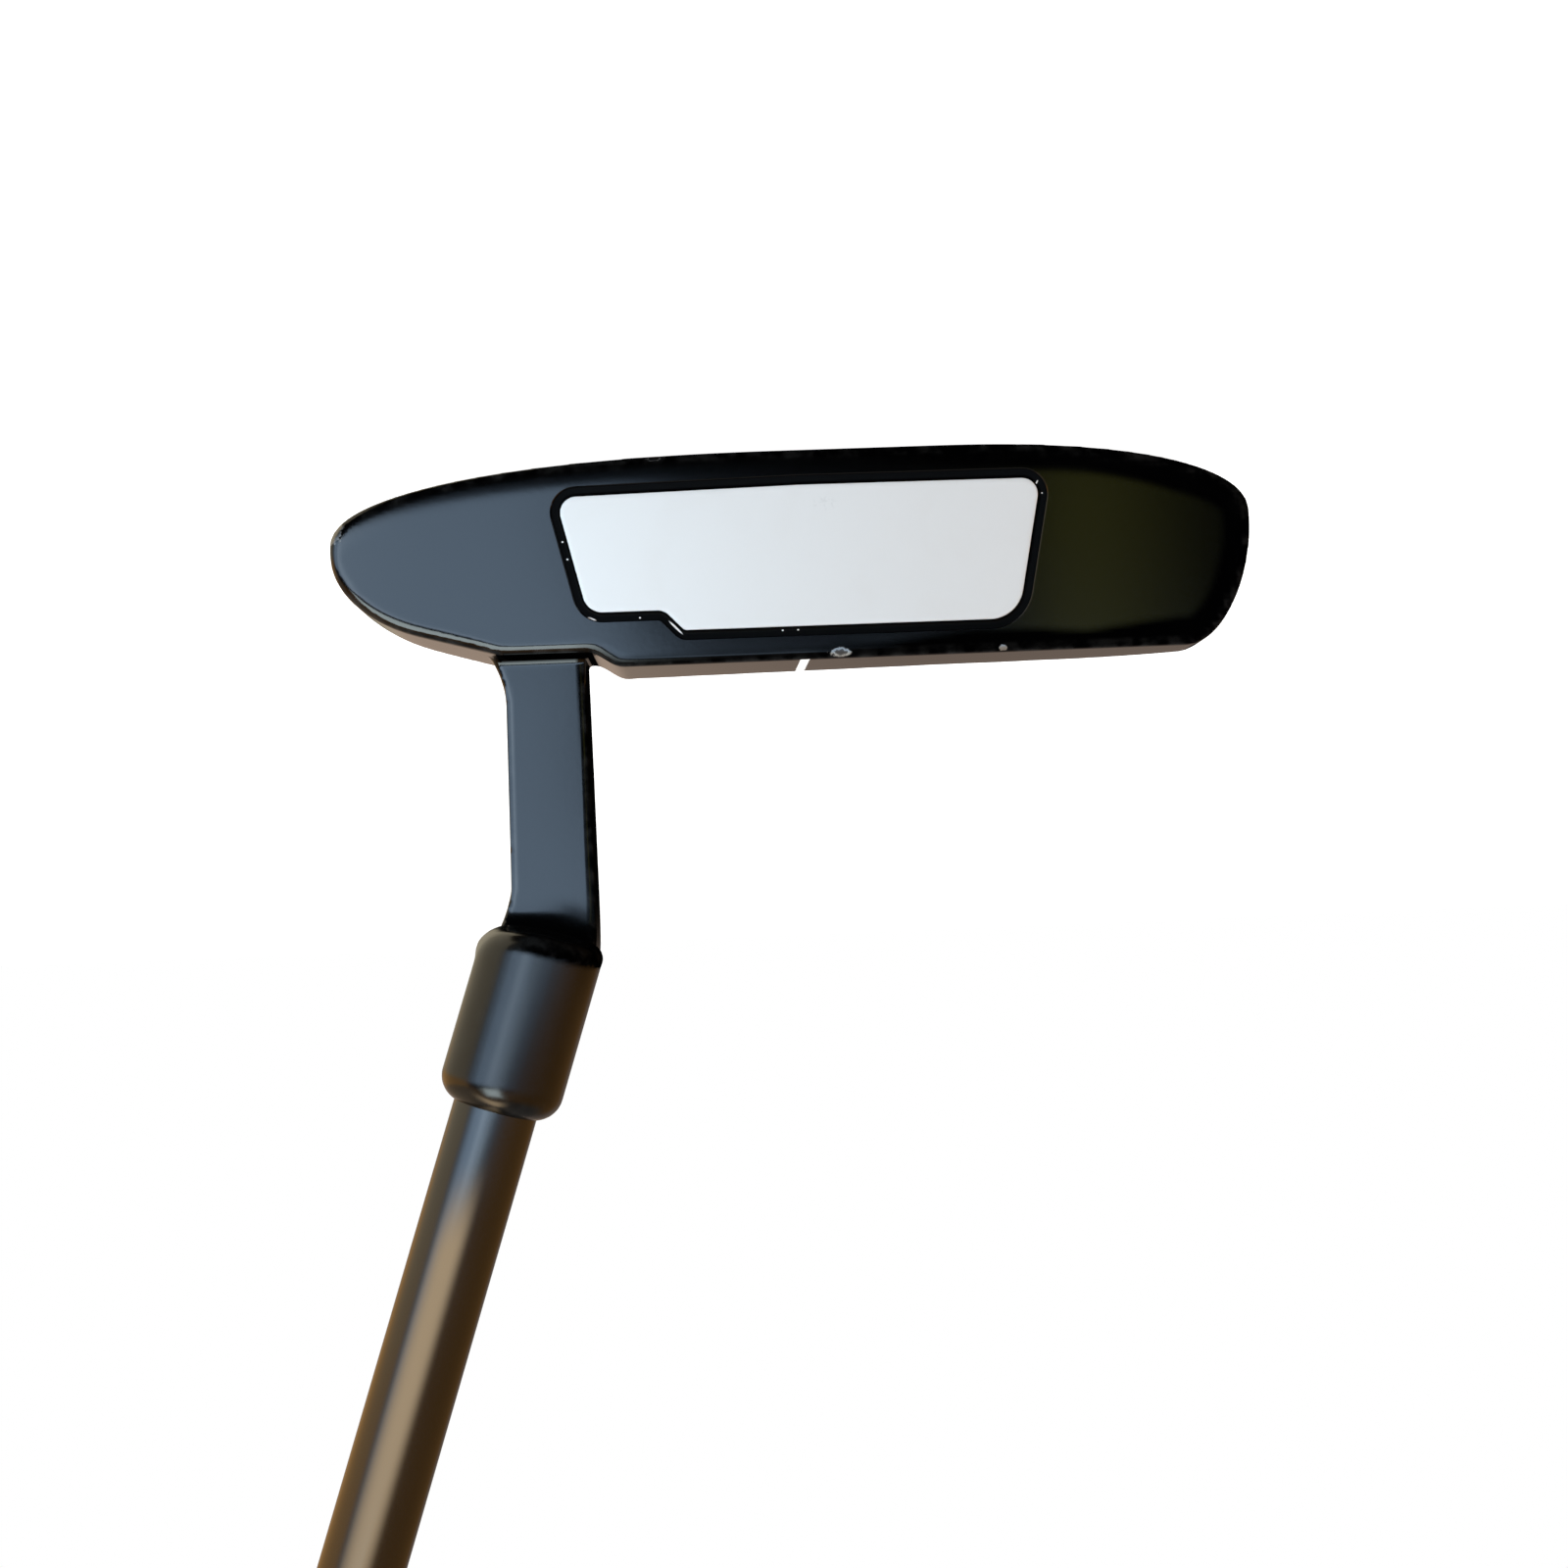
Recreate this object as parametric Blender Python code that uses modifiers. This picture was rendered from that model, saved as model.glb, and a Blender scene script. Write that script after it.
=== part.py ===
"""Blade putter with a plumber's neck: a cast head with a face insert, a steel shaft and a pistol grip.

Metres, +Z up. The club stands as at address: the flat land of its sole rests on the origin under the
aiming mark, the face looks along -Y, the heel is at +X and the shaft leans towards +X, to the player.
"""

import math

import bmesh
import bpy
from mathutils import Matrix

MM = 0.001

# Clearances
FIT_GAP = 0.2 * MM
TRIM_GAP = 0.1 * MM

# Stance of the club
LIE = math.radians(72.0)
LOFT = math.radians(3.5)
CLUB_LENGTH = 864.0 * MM
AXIS_FOOT_X = 12.4 * MM
AXIS_LEAD = 5.0 * MM

# Face outline, seen from the front
FACE_HEIGHT = 24.95 * MM
TOE_REACH = 53.0 * MM
HEEL_REACH = 54.85 * MM
TOE_TIP_HEIGHT = 9.3 * MM
HEEL_TIP_HEIGHT = 9.8 * MM
TOE_CORNER_RUN = 8.0 * MM
SHELF_DROP = 2.0 * MM
SHELF_RAMP = 4.0 * MM
SHELF_MARGIN = 0.1 * MM
LAND_TOE_REACH = 16.0 * MM
LAND_HEEL_REACH = 2.0 * MM
FACE_EDGE_RADIUS = 0.9 * MM
SOLE_FULLNESS = 2.3
TOE_FULLNESS = 1.8
HEEL_FULLNESS = 2.6
HEEL_CORNER_SHARE = 0.57
HEEL_SLOPE = 0.27

# Head depth, seen from above
HEAD_DEPTH = 26.5 * MM
HEAD_SIDE_MARGIN = 0.15 * MM
HEAD_SHOULDER_Y = 2.0 * MM
HEAD_BACK_RUN = 37.0 * MM
BACK_FULLNESS = 2.2
RAIL_DEPTH_HEEL = 13.4 * MM
RAIL_DEPTH_TOE = 10.4 * MM
RAIL_HEEL_RUN = 20.0 * MM
RAIL_TOE_RUN = 24.0 * MM
RAIL_HEEL_FULLNESS = 1.25
RAIL_TOE_FULLNESS = 1.7

# Back of the head
DECK_FRONT_HEIGHT = 17.0 * MM
DECK_BACK_HEIGHT = 12.0 * MM
CAVITY_HALF_WIDTH = 20.5 * MM
CAVITY_CORNER = 4.0 * MM
FLANGE_HEIGHT = 6.5 * MM
LAND_DEPTH = 16.0 * MM
SOLE_LIFT = 2.4 * MM

# Neck
NECK_WIDTH = 10.1 * MM
NECK_DEPTH = 9.5 * MM
NECK_SETBACK = 7.0 * MM
NECK_SIDESTEP = 0.3 * MM
NECK_INNER_BEND = 4.8 * MM
NECK_OUTER_BEND = 9.5 * MM
NECK_EDGE_RADIUS = 1.2 * MM
NECK_ROOT_DEPTH = 9.0 * MM
LEG_RISE = 1.6 * MM
LEG_HEIGHT = 9.5 * MM
LEG_SEAT = 3.8 * MM
ROOT_FLARE = 1.8 * MM
ROOT_RISE = 5.5 * MM

# Hosel barrel, measured along the shaft from the ground
BARREL_START = 59.4 * MM
BARREL_LENGTH = 19.1 * MM
BARREL_WALL = 1.45 * MM
BARREL_FLOOR = 2.8 * MM
BARREL_LIP = 2.2 * MM
BARREL_FOOT_ROUND = 3.0 * MM

# Shaft
SHAFT_TIP_RADIUS = 4.7 * MM
SHAFT_BUTT_RADIUS = 7.35 * MM
SHAFT_WALL = 0.55 * MM
FIRST_STEP = 170.0 * MM
STEP_COUNT = 9
STEP_RAMP = 1.2 * MM
BUTT_RUN = 300.0 * MM
EPOXY_THICKNESS = 0.3 * MM
PLUG_LENGTH = 12.0 * MM

# Grip
GRIP_LENGTH = 267.0 * MM
GRIP_TAPE_THICKNESS = 0.3 * MM
GRIP_TAPE_INSET = 6.0 * MM
GRIP_FLAT_WALL = 1.7 * MM
GRIP_MOUTH_WALL = 1.9 * MM
GRIP_TOP_WALL = 5.6 * MM
PISTOL_SWELL = 4.2 * MM
PISTOL_CENTRE = 232.0 * MM
PISTOL_SPREAD = 52.0 * MM
GRIP_SECTIONS = 15
CAP_THICKNESS = 5.0 * MM
CAP_ROUNDING = 1.8 * MM
CAP_SPIGOT = 6.0 * MM
VENT_RADIUS = 1.2 * MM

# Face insert, its bead and its tape
INSERT_HALF_FOOT = 28.45 * MM
INSERT_HALF_HEAD = 25.3 * MM
INSERT_FOOT_HEIGHT = 4.2 * MM
INSERT_FOOT_SAG = 0.2 * MM
INSERT_TOP_MARGIN = 4.15 * MM
INSERT_STEP_MARGIN = 4.55 * MM
INSERT_STEP_X = 15.1 * MM
INSERT_STEP_RUN = 2.3 * MM
INSERT_CORNER = 1.6 * MM
INSERT_STEP_CORNER = 0.8 * MM
INSERT_THICKNESS = 4.2 * MM
BEAD_WIDTH = 0.9 * MM
BEAD_DEPTH = 2.0 * MM
TAPE_THICKNESS = 0.4 * MM

# Aiming mark across the top rail
MARK_WIDTH = 1.0 * MM
MARK_DEPTH = 0.5 * MM
MARK_FRONT_INSET = 1.2 * MM
MARK_BACK_INSET = 0.6 * MM

# Fineness of curves
QUARTER_STEPS = 9
ARC_STEPS = 6
RING_POINTS = 40
WELD_DISTANCE = 0.001 * MM

# Sizes that follow from those above
AXIS_SLOPE_X = math.cos(LIE)
AXIS_SLOPE_Z = math.sin(LIE)
SHELF_HEIGHT = FACE_HEIGHT - SHELF_DROP
BORE_RADIUS = SHAFT_TIP_RADIUS + EPOXY_THICKNESS + 2 * FIT_GAP
BARREL_RADIUS = BORE_RADIUS + BARREL_WALL
BARREL_FOOT_X = AXIS_FOOT_X + BARREL_START * AXIS_SLOPE_X
BARREL_FOOT_Z = BARREL_START * AXIS_SLOPE_Z
NECK_X = BARREL_FOOT_X - NECK_SIDESTEP
NECK_BACK_Y = NECK_SETBACK + NECK_DEPTH
SHELF_TOE_X = NECK_X - NECK_WIDTH / 2 - SHELF_MARGIN
SHELF_HEEL_X = NECK_X + NECK_WIDTH / 2 + SHELF_MARGIN
SHAFT_FOOT = BARREL_START + BARREL_FLOOR + FIT_GAP
GRIP_TOP = CLUB_LENGTH - CAP_THICKNESS - FIT_GAP
GRIP_FOOT = GRIP_TOP - GRIP_LENGTH
SHAFT_TOP = GRIP_TOP - CAP_SPIGOT - FIT_GAP
GRIP_BORE = SHAFT_BUTT_RADIUS + GRIP_TAPE_THICKNESS + 2 * FIT_GAP
POCKET_GROW = BEAD_WIDTH + 2 * TRIM_GAP
POCKET_DEPTH = INSERT_THICKNESS + TAPE_THICKNESS + 2 * FIT_GAP
ORIGIN_SETBACK = LAND_DEPTH / 2
BEYOND = 2 * (HEEL_REACH + HEAD_DEPTH)

# Local axes of an outline drawn in the front (X, Z), side (Y, Z) or plan (X, Y) view
FRONT_VIEW = Matrix(((1, 0, 0), (0, 0, -1), (0, 1, 0))).to_4x4()
SIDE_VIEW = Matrix(((0, 0, 1), (1, 0, 0), (0, 1, 0))).to_4x4()
PLAN_VIEW = Matrix.Identity(4)
LEAN_BACK = Matrix(((1, 0, 0, 0), (0, 1, math.tan(LOFT), 0), (0, 0, 1, 0), (0, 0, 0, 1)))


def clear_scene():
    for obj in list(bpy.data.objects):
        bpy.data.objects.remove(obj, do_unlink=True)


def new_collection(name):
    collection = bpy.data.collections.new(name)
    bpy.context.scene.collection.children.link(collection)
    return collection


def new_material(name, colour, roughness, metallic):
    material = bpy.data.materials.new(name)
    material.use_nodes = True
    shader = material.node_tree.nodes["Principled BSDF"]
    shader.inputs["Base Color"].default_value = (*colour, 1.0)
    shader.inputs["Roughness"].default_value = roughness
    shader.inputs["Metallic"].default_value = metallic
    return material


def quarter(centre, run, rise, fullness, start_on_run=True):
    """Points of one quarter of a superellipse, from the end of its run to the end of its rise, or back."""
    points = []
    for step in range(QUARTER_STEPS + 1):
        angle = step / QUARTER_STEPS * math.pi / 2
        across = math.cos(angle) ** (2 / fullness)
        along = math.sin(angle) ** (2 / fullness)
        points.append((centre[0] + run * across, centre[1] + rise * along))
    return points if start_on_run else points[::-1]


def arc(centre, radius, start, end):
    points = []
    for step in range(ARC_STEPS + 1):
        angle = start + (end - start) * step / ARC_STEPS
        points.append((centre[0] + radius * math.cos(angle), centre[1] + radius * math.sin(angle)))
    return points


def rounded_polygon(corners, grow=0.0):
    """Outline of corners (x, y, radius) listed anticlockwise, moved outwards by grow, with rounded corners."""
    count = len(corners)
    lines = []
    for index in range(count):
        x0, y0, _ = corners[index]
        x1, y1, _ = corners[(index + 1) % count]
        length = math.hypot(x1 - x0, y1 - y0)
        along = ((x1 - x0) / length, (y1 - y0) / length)
        lines.append(((x0 + along[1] * grow, y0 - along[0] * grow), along))
    points = []
    for index in range(count):
        (ax, ay), into = lines[index - 1]
        (bx, by), out = lines[index]
        turn = into[0] * out[1] - into[1] * out[0]
        reach = ((bx - ax) * out[1] - (by - ay) * out[0]) / turn
        tip = (ax + into[0] * reach, ay + into[1] * reach)
        side = math.copysign(1.0, turn)
        radius = corners[index][2] + side * grow
        angle = math.atan2(turn, into[0] * out[0] + into[1] * out[1])
        back = radius * math.tan(abs(angle) / 2)
        start = (tip[0] - into[0] * back, tip[1] - into[1] * back)
        centre = (start[0] - into[1] * radius * side, start[1] + into[0] * radius * side)
        first = math.atan2(start[1] - centre[1], start[0] - centre[0])
        points += arc(centre, radius, first, first + angle)
    return points


def as_mesh(curve_object, collection):
    """A mesh object with the shape of a curve object, whose caps are welded on."""
    bpy.context.view_layer.update()
    graph = bpy.context.evaluated_depsgraph_get()
    mesh = bpy.data.meshes.new_from_object(curve_object.evaluated_get(graph))
    name = curve_object.name
    place = curve_object.matrix_world.copy()
    bpy.data.objects.remove(curve_object, do_unlink=True)
    shape = bmesh.new()
    shape.from_mesh(mesh)
    bmesh.ops.remove_doubles(shape, verts=shape.verts, dist=WELD_DISTANCE)
    bmesh.ops.recalc_face_normals(shape, faces=shape.faces)
    shape.to_mesh(mesh)
    shape.free()
    solid = bpy.data.objects.new(name, mesh)
    solid.matrix_world = place
    collection.objects.link(solid)
    return solid


def prism(name, outline, view, near, far, collection, edge_radius=0.0):
    """A flat outline extruded between two depths of its view, with its edges rounded by edge_radius."""
    curve = bpy.data.curves.new(name, "CURVE")
    curve.dimensions = "2D"
    curve.fill_mode = "BOTH"
    curve.extrude = abs(far - near) / 2 - edge_radius
    curve.bevel_depth = edge_radius
    curve.bevel_resolution = 2
    curve.offset = -edge_radius
    spline = curve.splines.new("POLY")
    spline.points.add(len(outline) - 1)
    for point, (x, y) in zip(spline.points, outline):
        point.co = (x, y, 0, 1)
    spline.use_cyclic_u = True
    flat = bpy.data.objects.new(name, curve)
    flat.matrix_world = view @ Matrix.Translation((0, 0, (near + far) / 2))
    collection.objects.link(flat)
    return as_mesh(flat, collection)


def front_prism(name, outline, front, back, collection, edge_radius=0.0):
    """A prism of a front outline between two values of Y."""
    return prism(name, outline, FRONT_VIEW, -front, -back, collection, edge_radius)


def lean_back(obj):
    """Shears a front prism so that its front and back faces lie along the lofted face."""
    obj.data.transform(obj.matrix_world)
    obj.data.transform(LEAN_BACK)
    obj.matrix_world = Matrix.Identity(4)


def turned(name, profile, collection, closed=True):
    """A profile of (radius, height) points turned about the Z axis."""
    mesh = bpy.data.meshes.new(name)
    edges = [(index, index + 1) for index in range(len(profile) - 1)]
    if closed:
        edges.append((len(profile) - 1, 0))
    mesh.from_pydata([(radius, 0, height) for radius, height in profile], edges, [])
    obj = bpy.data.objects.new(name, mesh)
    collection.objects.link(obj)
    screw = obj.modifiers.new("turn", "SCREW")
    screw.steps = RING_POINTS
    screw.render_steps = RING_POINTS
    screw.use_merge_vertices = True
    screw.merge_threshold = WELD_DISTANCE
    screw.use_smooth_shade = False
    return obj


def looped_loft(name, rings, collection):
    """A closed solid through rings of points, whose last ring joins the first."""
    shape = bmesh.new()
    loops = [[shape.verts.new(point) for point in ring] for ring in rings]
    count = len(rings[0])
    for index, loop in enumerate(loops):
        following = loops[(index + 1) % len(loops)]
        for place in range(count):
            beside = (place + 1) % count
            shape.faces.new((loop[place], loop[beside], following[beside], following[place]))
    bmesh.ops.recalc_face_normals(shape, faces=shape.faces)
    mesh = bpy.data.meshes.new(name)
    shape.to_mesh(mesh)
    shape.free()
    obj = bpy.data.objects.new(name, mesh)
    collection.objects.link(obj)
    return obj


def combine(obj, operation, other):
    boolean = obj.modifiers.new(f"{operation.lower()} {other.name}", "BOOLEAN")
    boolean.operation = operation
    boolean.object = other
    boolean.solver = "EXACT"


def finish_part(obj, material, parent=None):
    """Gives a part its material and hangs it on its parent; round faces are shaded smooth."""
    obj.data.materials.clear()
    obj.data.materials.append(material)
    if obj.data.polygons:
        obj.data.shade_smooth()
        obj.data.set_sharp_from_angle(angle=math.radians(30))
    if parent:
        obj.parent = parent
    return obj


def heel_corner():
    """The heel's upper corner, from its tip to where it joins the slope that rises to the neck's shelf."""
    run = HEEL_CORNER_SHARE * (HEEL_REACH - SHELF_HEEL_X)
    shoulder = HEEL_REACH - run
    rise = SHELF_HEIGHT - HEEL_SLOPE * (shoulder - SHELF_HEEL_X) - HEEL_TIP_HEIGHT
    points = []
    for x, z in quarter((shoulder, HEEL_TIP_HEIGHT), run, rise, HEEL_FULLNESS):
        share = (z - HEEL_TIP_HEIGHT) / rise
        points.append((x, z - HEEL_SLOPE * (x - shoulder) * share))
    return points


def face_outline():
    """The head's outline in the front view, anticlockwise from the toe end of the top rail."""
    toe_start = -TOE_REACH + TOE_CORNER_RUN
    outline = quarter((toe_start, TOE_TIP_HEIGHT), -TOE_CORNER_RUN, FACE_HEIGHT - TOE_TIP_HEIGHT,
                      TOE_FULLNESS, start_on_run=False)
    outline += quarter((-LAND_TOE_REACH, TOE_TIP_HEIGHT), LAND_TOE_REACH - TOE_REACH, -TOE_TIP_HEIGHT,
                       SOLE_FULLNESS)[1:]
    outline += quarter((LAND_HEEL_REACH, HEEL_TIP_HEIGHT), HEEL_REACH - LAND_HEEL_REACH, -HEEL_TIP_HEIGHT,
                       SOLE_FULLNESS, start_on_run=False)
    outline += heel_corner()[1:]
    outline.append((SHELF_HEEL_X, SHELF_HEIGHT))
    for step in range(ARC_STEPS + 1):
        share = step / ARC_STEPS
        height = SHELF_HEIGHT + SHELF_DROP * share * share * (3 - 2 * share)
        outline.append((SHELF_TOE_X - SHELF_RAMP * share, height))
    return outline


def head_plan():
    """The head's outline from above, open-ended in front of the face, anticlockwise."""
    toe_side = TOE_REACH + HEAD_SIDE_MARGIN
    heel_side = HEEL_REACH + HEAD_SIDE_MARGIN
    back_run = HEAD_DEPTH - HEAD_SHOULDER_Y
    outline = [(-toe_side, -HEAD_DEPTH), (heel_side, -HEAD_DEPTH)]
    outline += quarter((heel_side - HEAD_BACK_RUN, HEAD_SHOULDER_Y), HEAD_BACK_RUN, back_run, BACK_FULLNESS)
    outline += quarter((HEAD_BACK_RUN - toe_side, HEAD_SHOULDER_Y), -HEAD_BACK_RUN, back_run, BACK_FULLNESS,
                       start_on_run=False)
    return outline


def rail_plan():
    """The top rail's outline from above, anticlockwise, running out in front of the face."""
    outline = [(-TOE_REACH, -HEAD_DEPTH), (HEEL_REACH, -HEAD_DEPTH)]
    outline += quarter((HEEL_REACH - RAIL_HEEL_RUN, 0), RAIL_HEEL_RUN, RAIL_DEPTH_HEEL, RAIL_HEEL_FULLNESS)
    outline += quarter((RAIL_TOE_RUN - TOE_REACH, 0), -RAIL_TOE_RUN, RAIL_DEPTH_TOE, RAIL_TOE_FULLNESS,
                       start_on_run=False)
    return outline


def rear_cut(cutters):
    """What is taken off behind the top rail: down to the deck at both ends and to the flange between."""
    slope = (DECK_BACK_HEIGHT - DECK_FRONT_HEIGHT) / HEAD_DEPTH
    above = [
        (-HEAD_DEPTH, DECK_FRONT_HEIGHT - slope * HEAD_DEPTH),
        (2 * HEAD_DEPTH, DECK_FRONT_HEIGHT + 2 * slope * HEAD_DEPTH),
        (2 * HEAD_DEPTH, BEYOND),
        (-HEAD_DEPTH, BEYOND),
    ]
    deck = prism("rear_cut", above, SIDE_VIEW, -BEYOND, BEYOND, cutters)
    corners = [
        (-CAVITY_HALF_WIDTH, 0, 0.5 * CAVITY_CORNER),
        (CAVITY_HALF_WIDTH, 0, 0.5 * CAVITY_CORNER),
        (CAVITY_HALF_WIDTH + CAVITY_CORNER, 2 * HEAD_DEPTH, CAVITY_CORNER),
        (-CAVITY_HALF_WIDTH - CAVITY_CORNER, 2 * HEAD_DEPTH, CAVITY_CORNER),
    ]
    cavity = prism("cavity_cut", rounded_polygon(corners), PLAN_VIEW, FLANGE_HEIGHT, BEYOND / 2, cutters)
    rail = prism("rail_keep", rail_plan(), PLAN_VIEW, -BEYOND, 2 * BEYOND, cutters)
    combine(deck, "UNION", cavity)
    combine(deck, "DIFFERENCE", rail)
    return deck


def sole_cut(cutters):
    """The relief that lifts the back of the sole off the ground behind its flat land."""
    run = HEAD_DEPTH - LAND_DEPTH
    below = [(LAND_DEPTH, 0)]
    for step in range(1, ARC_STEPS + 1):
        share = step / ARC_STEPS
        below.append((LAND_DEPTH + run * share, SOLE_LIFT * share * share))
    below += [(HEAD_DEPTH + run, 2 * SOLE_LIFT), (HEAD_DEPTH + run, -HEAD_DEPTH), (LAND_DEPTH, -HEAD_DEPTH)]
    return prism("sole_cut", below, SIDE_VIEW, -BEYOND, BEYOND, cutters)


def neck_shift(place):
    """How far a point of the neck moves along X: out into the flare at its root and over with the shaft's lean."""
    lean = max(0.0, place.z - BARREL_FOOT_Z) * AXIS_SLOPE_X / AXIS_SLOPE_Z
    fade = max(0.0, min(1.0, 1 - (place.z - SHELF_HEIGHT) / ROOT_RISE))
    flare = ROOT_FLARE * fade * fade if place.x > NECK_X else 0.0
    return lean + flare


def neck_solid(cutters):
    """The gooseneck: a post behind the face that bends forward into a leg to the barrel."""
    underside = BARREL_FOOT_Z + LEG_RISE
    top = underside + LEG_HEIGHT
    end = BARREL_RADIUS - AXIS_LEAD - LEG_SEAT
    root = SHELF_HEIGHT - NECK_ROOT_DEPTH
    flare_heights = [SHELF_HEIGHT + ROOT_RISE * step / ARC_STEPS for step in range(ARC_STEPS + 1)]
    inner = (NECK_SETBACK - NECK_INNER_BEND, underside - NECK_INNER_BEND)
    outer = (NECK_BACK_Y - NECK_OUTER_BEND, top - NECK_OUTER_BEND)
    side = [(NECK_SETBACK, root), (NECK_BACK_Y, root)]
    side += [(NECK_BACK_Y, height) for height in flare_heights]
    side += arc(outer, NECK_OUTER_BEND, 0, math.pi / 2)
    side += [(end, top), (end, underside)]
    side += arc(inner, NECK_INNER_BEND, math.pi / 2, 0)
    side += [(NECK_SETBACK, height) for height in reversed(flare_heights)]
    toe_side = NECK_X - NECK_WIDTH / 2
    neck = prism("neck", side, SIDE_VIEW, toe_side, toe_side + NECK_WIDTH, cutters, NECK_EDGE_RADIUS)
    shape = bmesh.new()
    shape.from_mesh(neck.data)
    shape.transform(neck.matrix_world)
    neck.matrix_world = Matrix.Identity(4)
    for height in [*flare_heights, BARREL_FOOT_Z]:
        everything = [*shape.verts, *shape.edges, *shape.faces]
        bmesh.ops.bisect_plane(shape, geom=everything, dist=WELD_DISTANCE, plane_co=(0, 0, height),
                               plane_no=(0, 0, 1))
    for vertex in shape.verts:
        vertex.co.x += neck_shift(vertex.co)
    shape.to_mesh(neck.data)
    shape.free()
    return neck


def barrel_solid(cutters, axis):
    """The turned hosel barrel, rounded at both ends."""
    lip = (BARREL_RADIUS - BARREL_LIP, BARREL_LENGTH - BARREL_LIP)
    foot = (BARREL_RADIUS - BARREL_FOOT_ROUND, BARREL_FOOT_ROUND)
    profile = [(0, BARREL_LENGTH)]
    profile += arc(lip, BARREL_LIP, math.pi / 2, 0)
    profile += arc(foot, BARREL_FOOT_ROUND, 0, -math.pi / 2)
    profile += [(0, 0)]
    barrel = turned("barrel", profile, cutters, closed=False)
    barrel.parent = axis
    barrel.location.z = BARREL_START
    return barrel


def bore_cut(cutters, axis):
    """The blind hole that takes the shaft's tip, turned by half a facet from the barrel's own facets."""
    floor = BARREL_START + BARREL_FLOOR
    mouth = BARREL_START + 2 * BARREL_LENGTH
    profile = [(0, mouth), (BORE_RADIUS, mouth), (BORE_RADIUS, floor), (0, floor)]
    bore = turned("bore", profile, cutters, closed=False)
    bore.parent = axis
    bore.rotation_euler.z = math.pi / RING_POINTS
    return bore


def insert_corners():
    """Corners of the face insert in the front view, anticlockwise; its heel end is stepped down."""
    top = FACE_HEIGHT - INSERT_TOP_MARGIN
    step = SHELF_HEIGHT - INSERT_STEP_MARGIN
    foot = INSERT_FOOT_HEIGHT
    return [
        (-INSERT_HALF_FOOT, foot, INSERT_CORNER),
        (0, foot - INSERT_FOOT_SAG, INSERT_HALF_FOOT),
        (INSERT_HALF_FOOT, foot, INSERT_CORNER),
        (INSERT_HALF_HEAD, step, INSERT_CORNER),
        (INSERT_STEP_X + INSERT_STEP_RUN / 2, step, INSERT_STEP_CORNER + POCKET_GROW),
        (INSERT_STEP_X - INSERT_STEP_RUN / 2, top, INSERT_STEP_CORNER),
        (-INSERT_HALF_HEAD, top, INSERT_CORNER),
    ]


def pocket_cut(cutters):
    """The recess in the face that takes the insert, its bead and its tape."""
    outline = rounded_polygon(insert_corners(), POCKET_GROW)
    pocket = front_prism("pocket", outline, -HEAD_DEPTH, POCKET_DEPTH, cutters)
    lean_back(pocket)
    return pocket


def mark_cut(cutters):
    """The groove across the top rail that the aiming mark's paint fills."""
    half = MARK_WIDTH / 2 + TRIM_GAP
    floor = FACE_HEIGHT - MARK_DEPTH - TRIM_GAP
    outline = [(-half, floor), (half, floor), (half, 2 * FACE_HEIGHT), (-half, 2 * FACE_HEIGHT)]
    return front_prism("mark_groove", outline, -HEAD_DEPTH, HEAD_DEPTH, cutters)


def make_head(parts, cutters, axis, material):
    """The cast head with its neck and barrel in one piece, and the cuts for what it holds."""
    head = front_prism("putter_head", face_outline(), 0, 2 * HEAD_DEPTH, parts, FACE_EDGE_RADIUS)
    lean_back(head)
    combine(head, "INTERSECT", prism("head_plan", head_plan(), PLAN_VIEW, -BEYOND, BEYOND, cutters))
    combine(head, "DIFFERENCE", rear_cut(cutters))
    combine(head, "DIFFERENCE", sole_cut(cutters))
    combine(head, "DIFFERENCE", pocket_cut(cutters))
    combine(head, "DIFFERENCE", mark_cut(cutters))
    neck = neck_solid(cutters)
    combine(neck, "UNION", barrel_solid(cutters, axis))
    combine(neck, "DIFFERENCE", bore_cut(cutters, axis))
    combine(head, "UNION", neck)
    return finish_part(head, material)


def make_insert(parts, material):
    outline = rounded_polygon(insert_corners())
    insert = front_prism("face_insert", outline, 0, INSERT_THICKNESS, parts)
    lean_back(insert)
    return finish_part(insert, material)


def make_bead(parts, cutters, material):
    """The black resin line that fills the joint between the insert and its pocket."""
    outside = rounded_polygon(insert_corners(), TRIM_GAP + BEAD_WIDTH)
    bead = front_prism("insert_bead", outside, 0, BEAD_DEPTH, parts)
    lean_back(bead)
    inside = rounded_polygon(insert_corners(), TRIM_GAP)
    hole = front_prism("bead_hole", inside, -HEAD_DEPTH, HEAD_DEPTH, cutters)
    lean_back(hole)
    combine(bead, "DIFFERENCE", hole)
    return finish_part(bead, material)


def make_tape(parts, material):
    """The bonding tape between the insert and the floor of its pocket."""
    front = INSERT_THICKNESS + FIT_GAP
    outline = rounded_polygon(insert_corners())
    tape = front_prism("insert_tape", outline, front, front + TAPE_THICKNESS, parts)
    lean_back(tape)
    return finish_part(tape, material)


def make_mark(parts, material):
    """The white paint in the groove across the top rail."""
    half = MARK_WIDTH / 2
    floor = FACE_HEIGHT - MARK_DEPTH
    outline = [(-half, floor), (half, floor), (half, FACE_HEIGHT), (-half, FACE_HEIGHT)]
    front = FACE_HEIGHT * math.tan(LOFT) + MARK_FRONT_INSET
    rail_fall = (RAIL_DEPTH_HEEL - RAIL_DEPTH_TOE) / (HEEL_REACH - RAIL_HEEL_RUN + TOE_REACH - RAIL_TOE_RUN)
    back = RAIL_DEPTH_HEEL - rail_fall * (HEEL_REACH - RAIL_HEEL_RUN) - MARK_BACK_INSET
    return finish_part(front_prism("sight_line", outline, front, back, parts), material)


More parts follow.
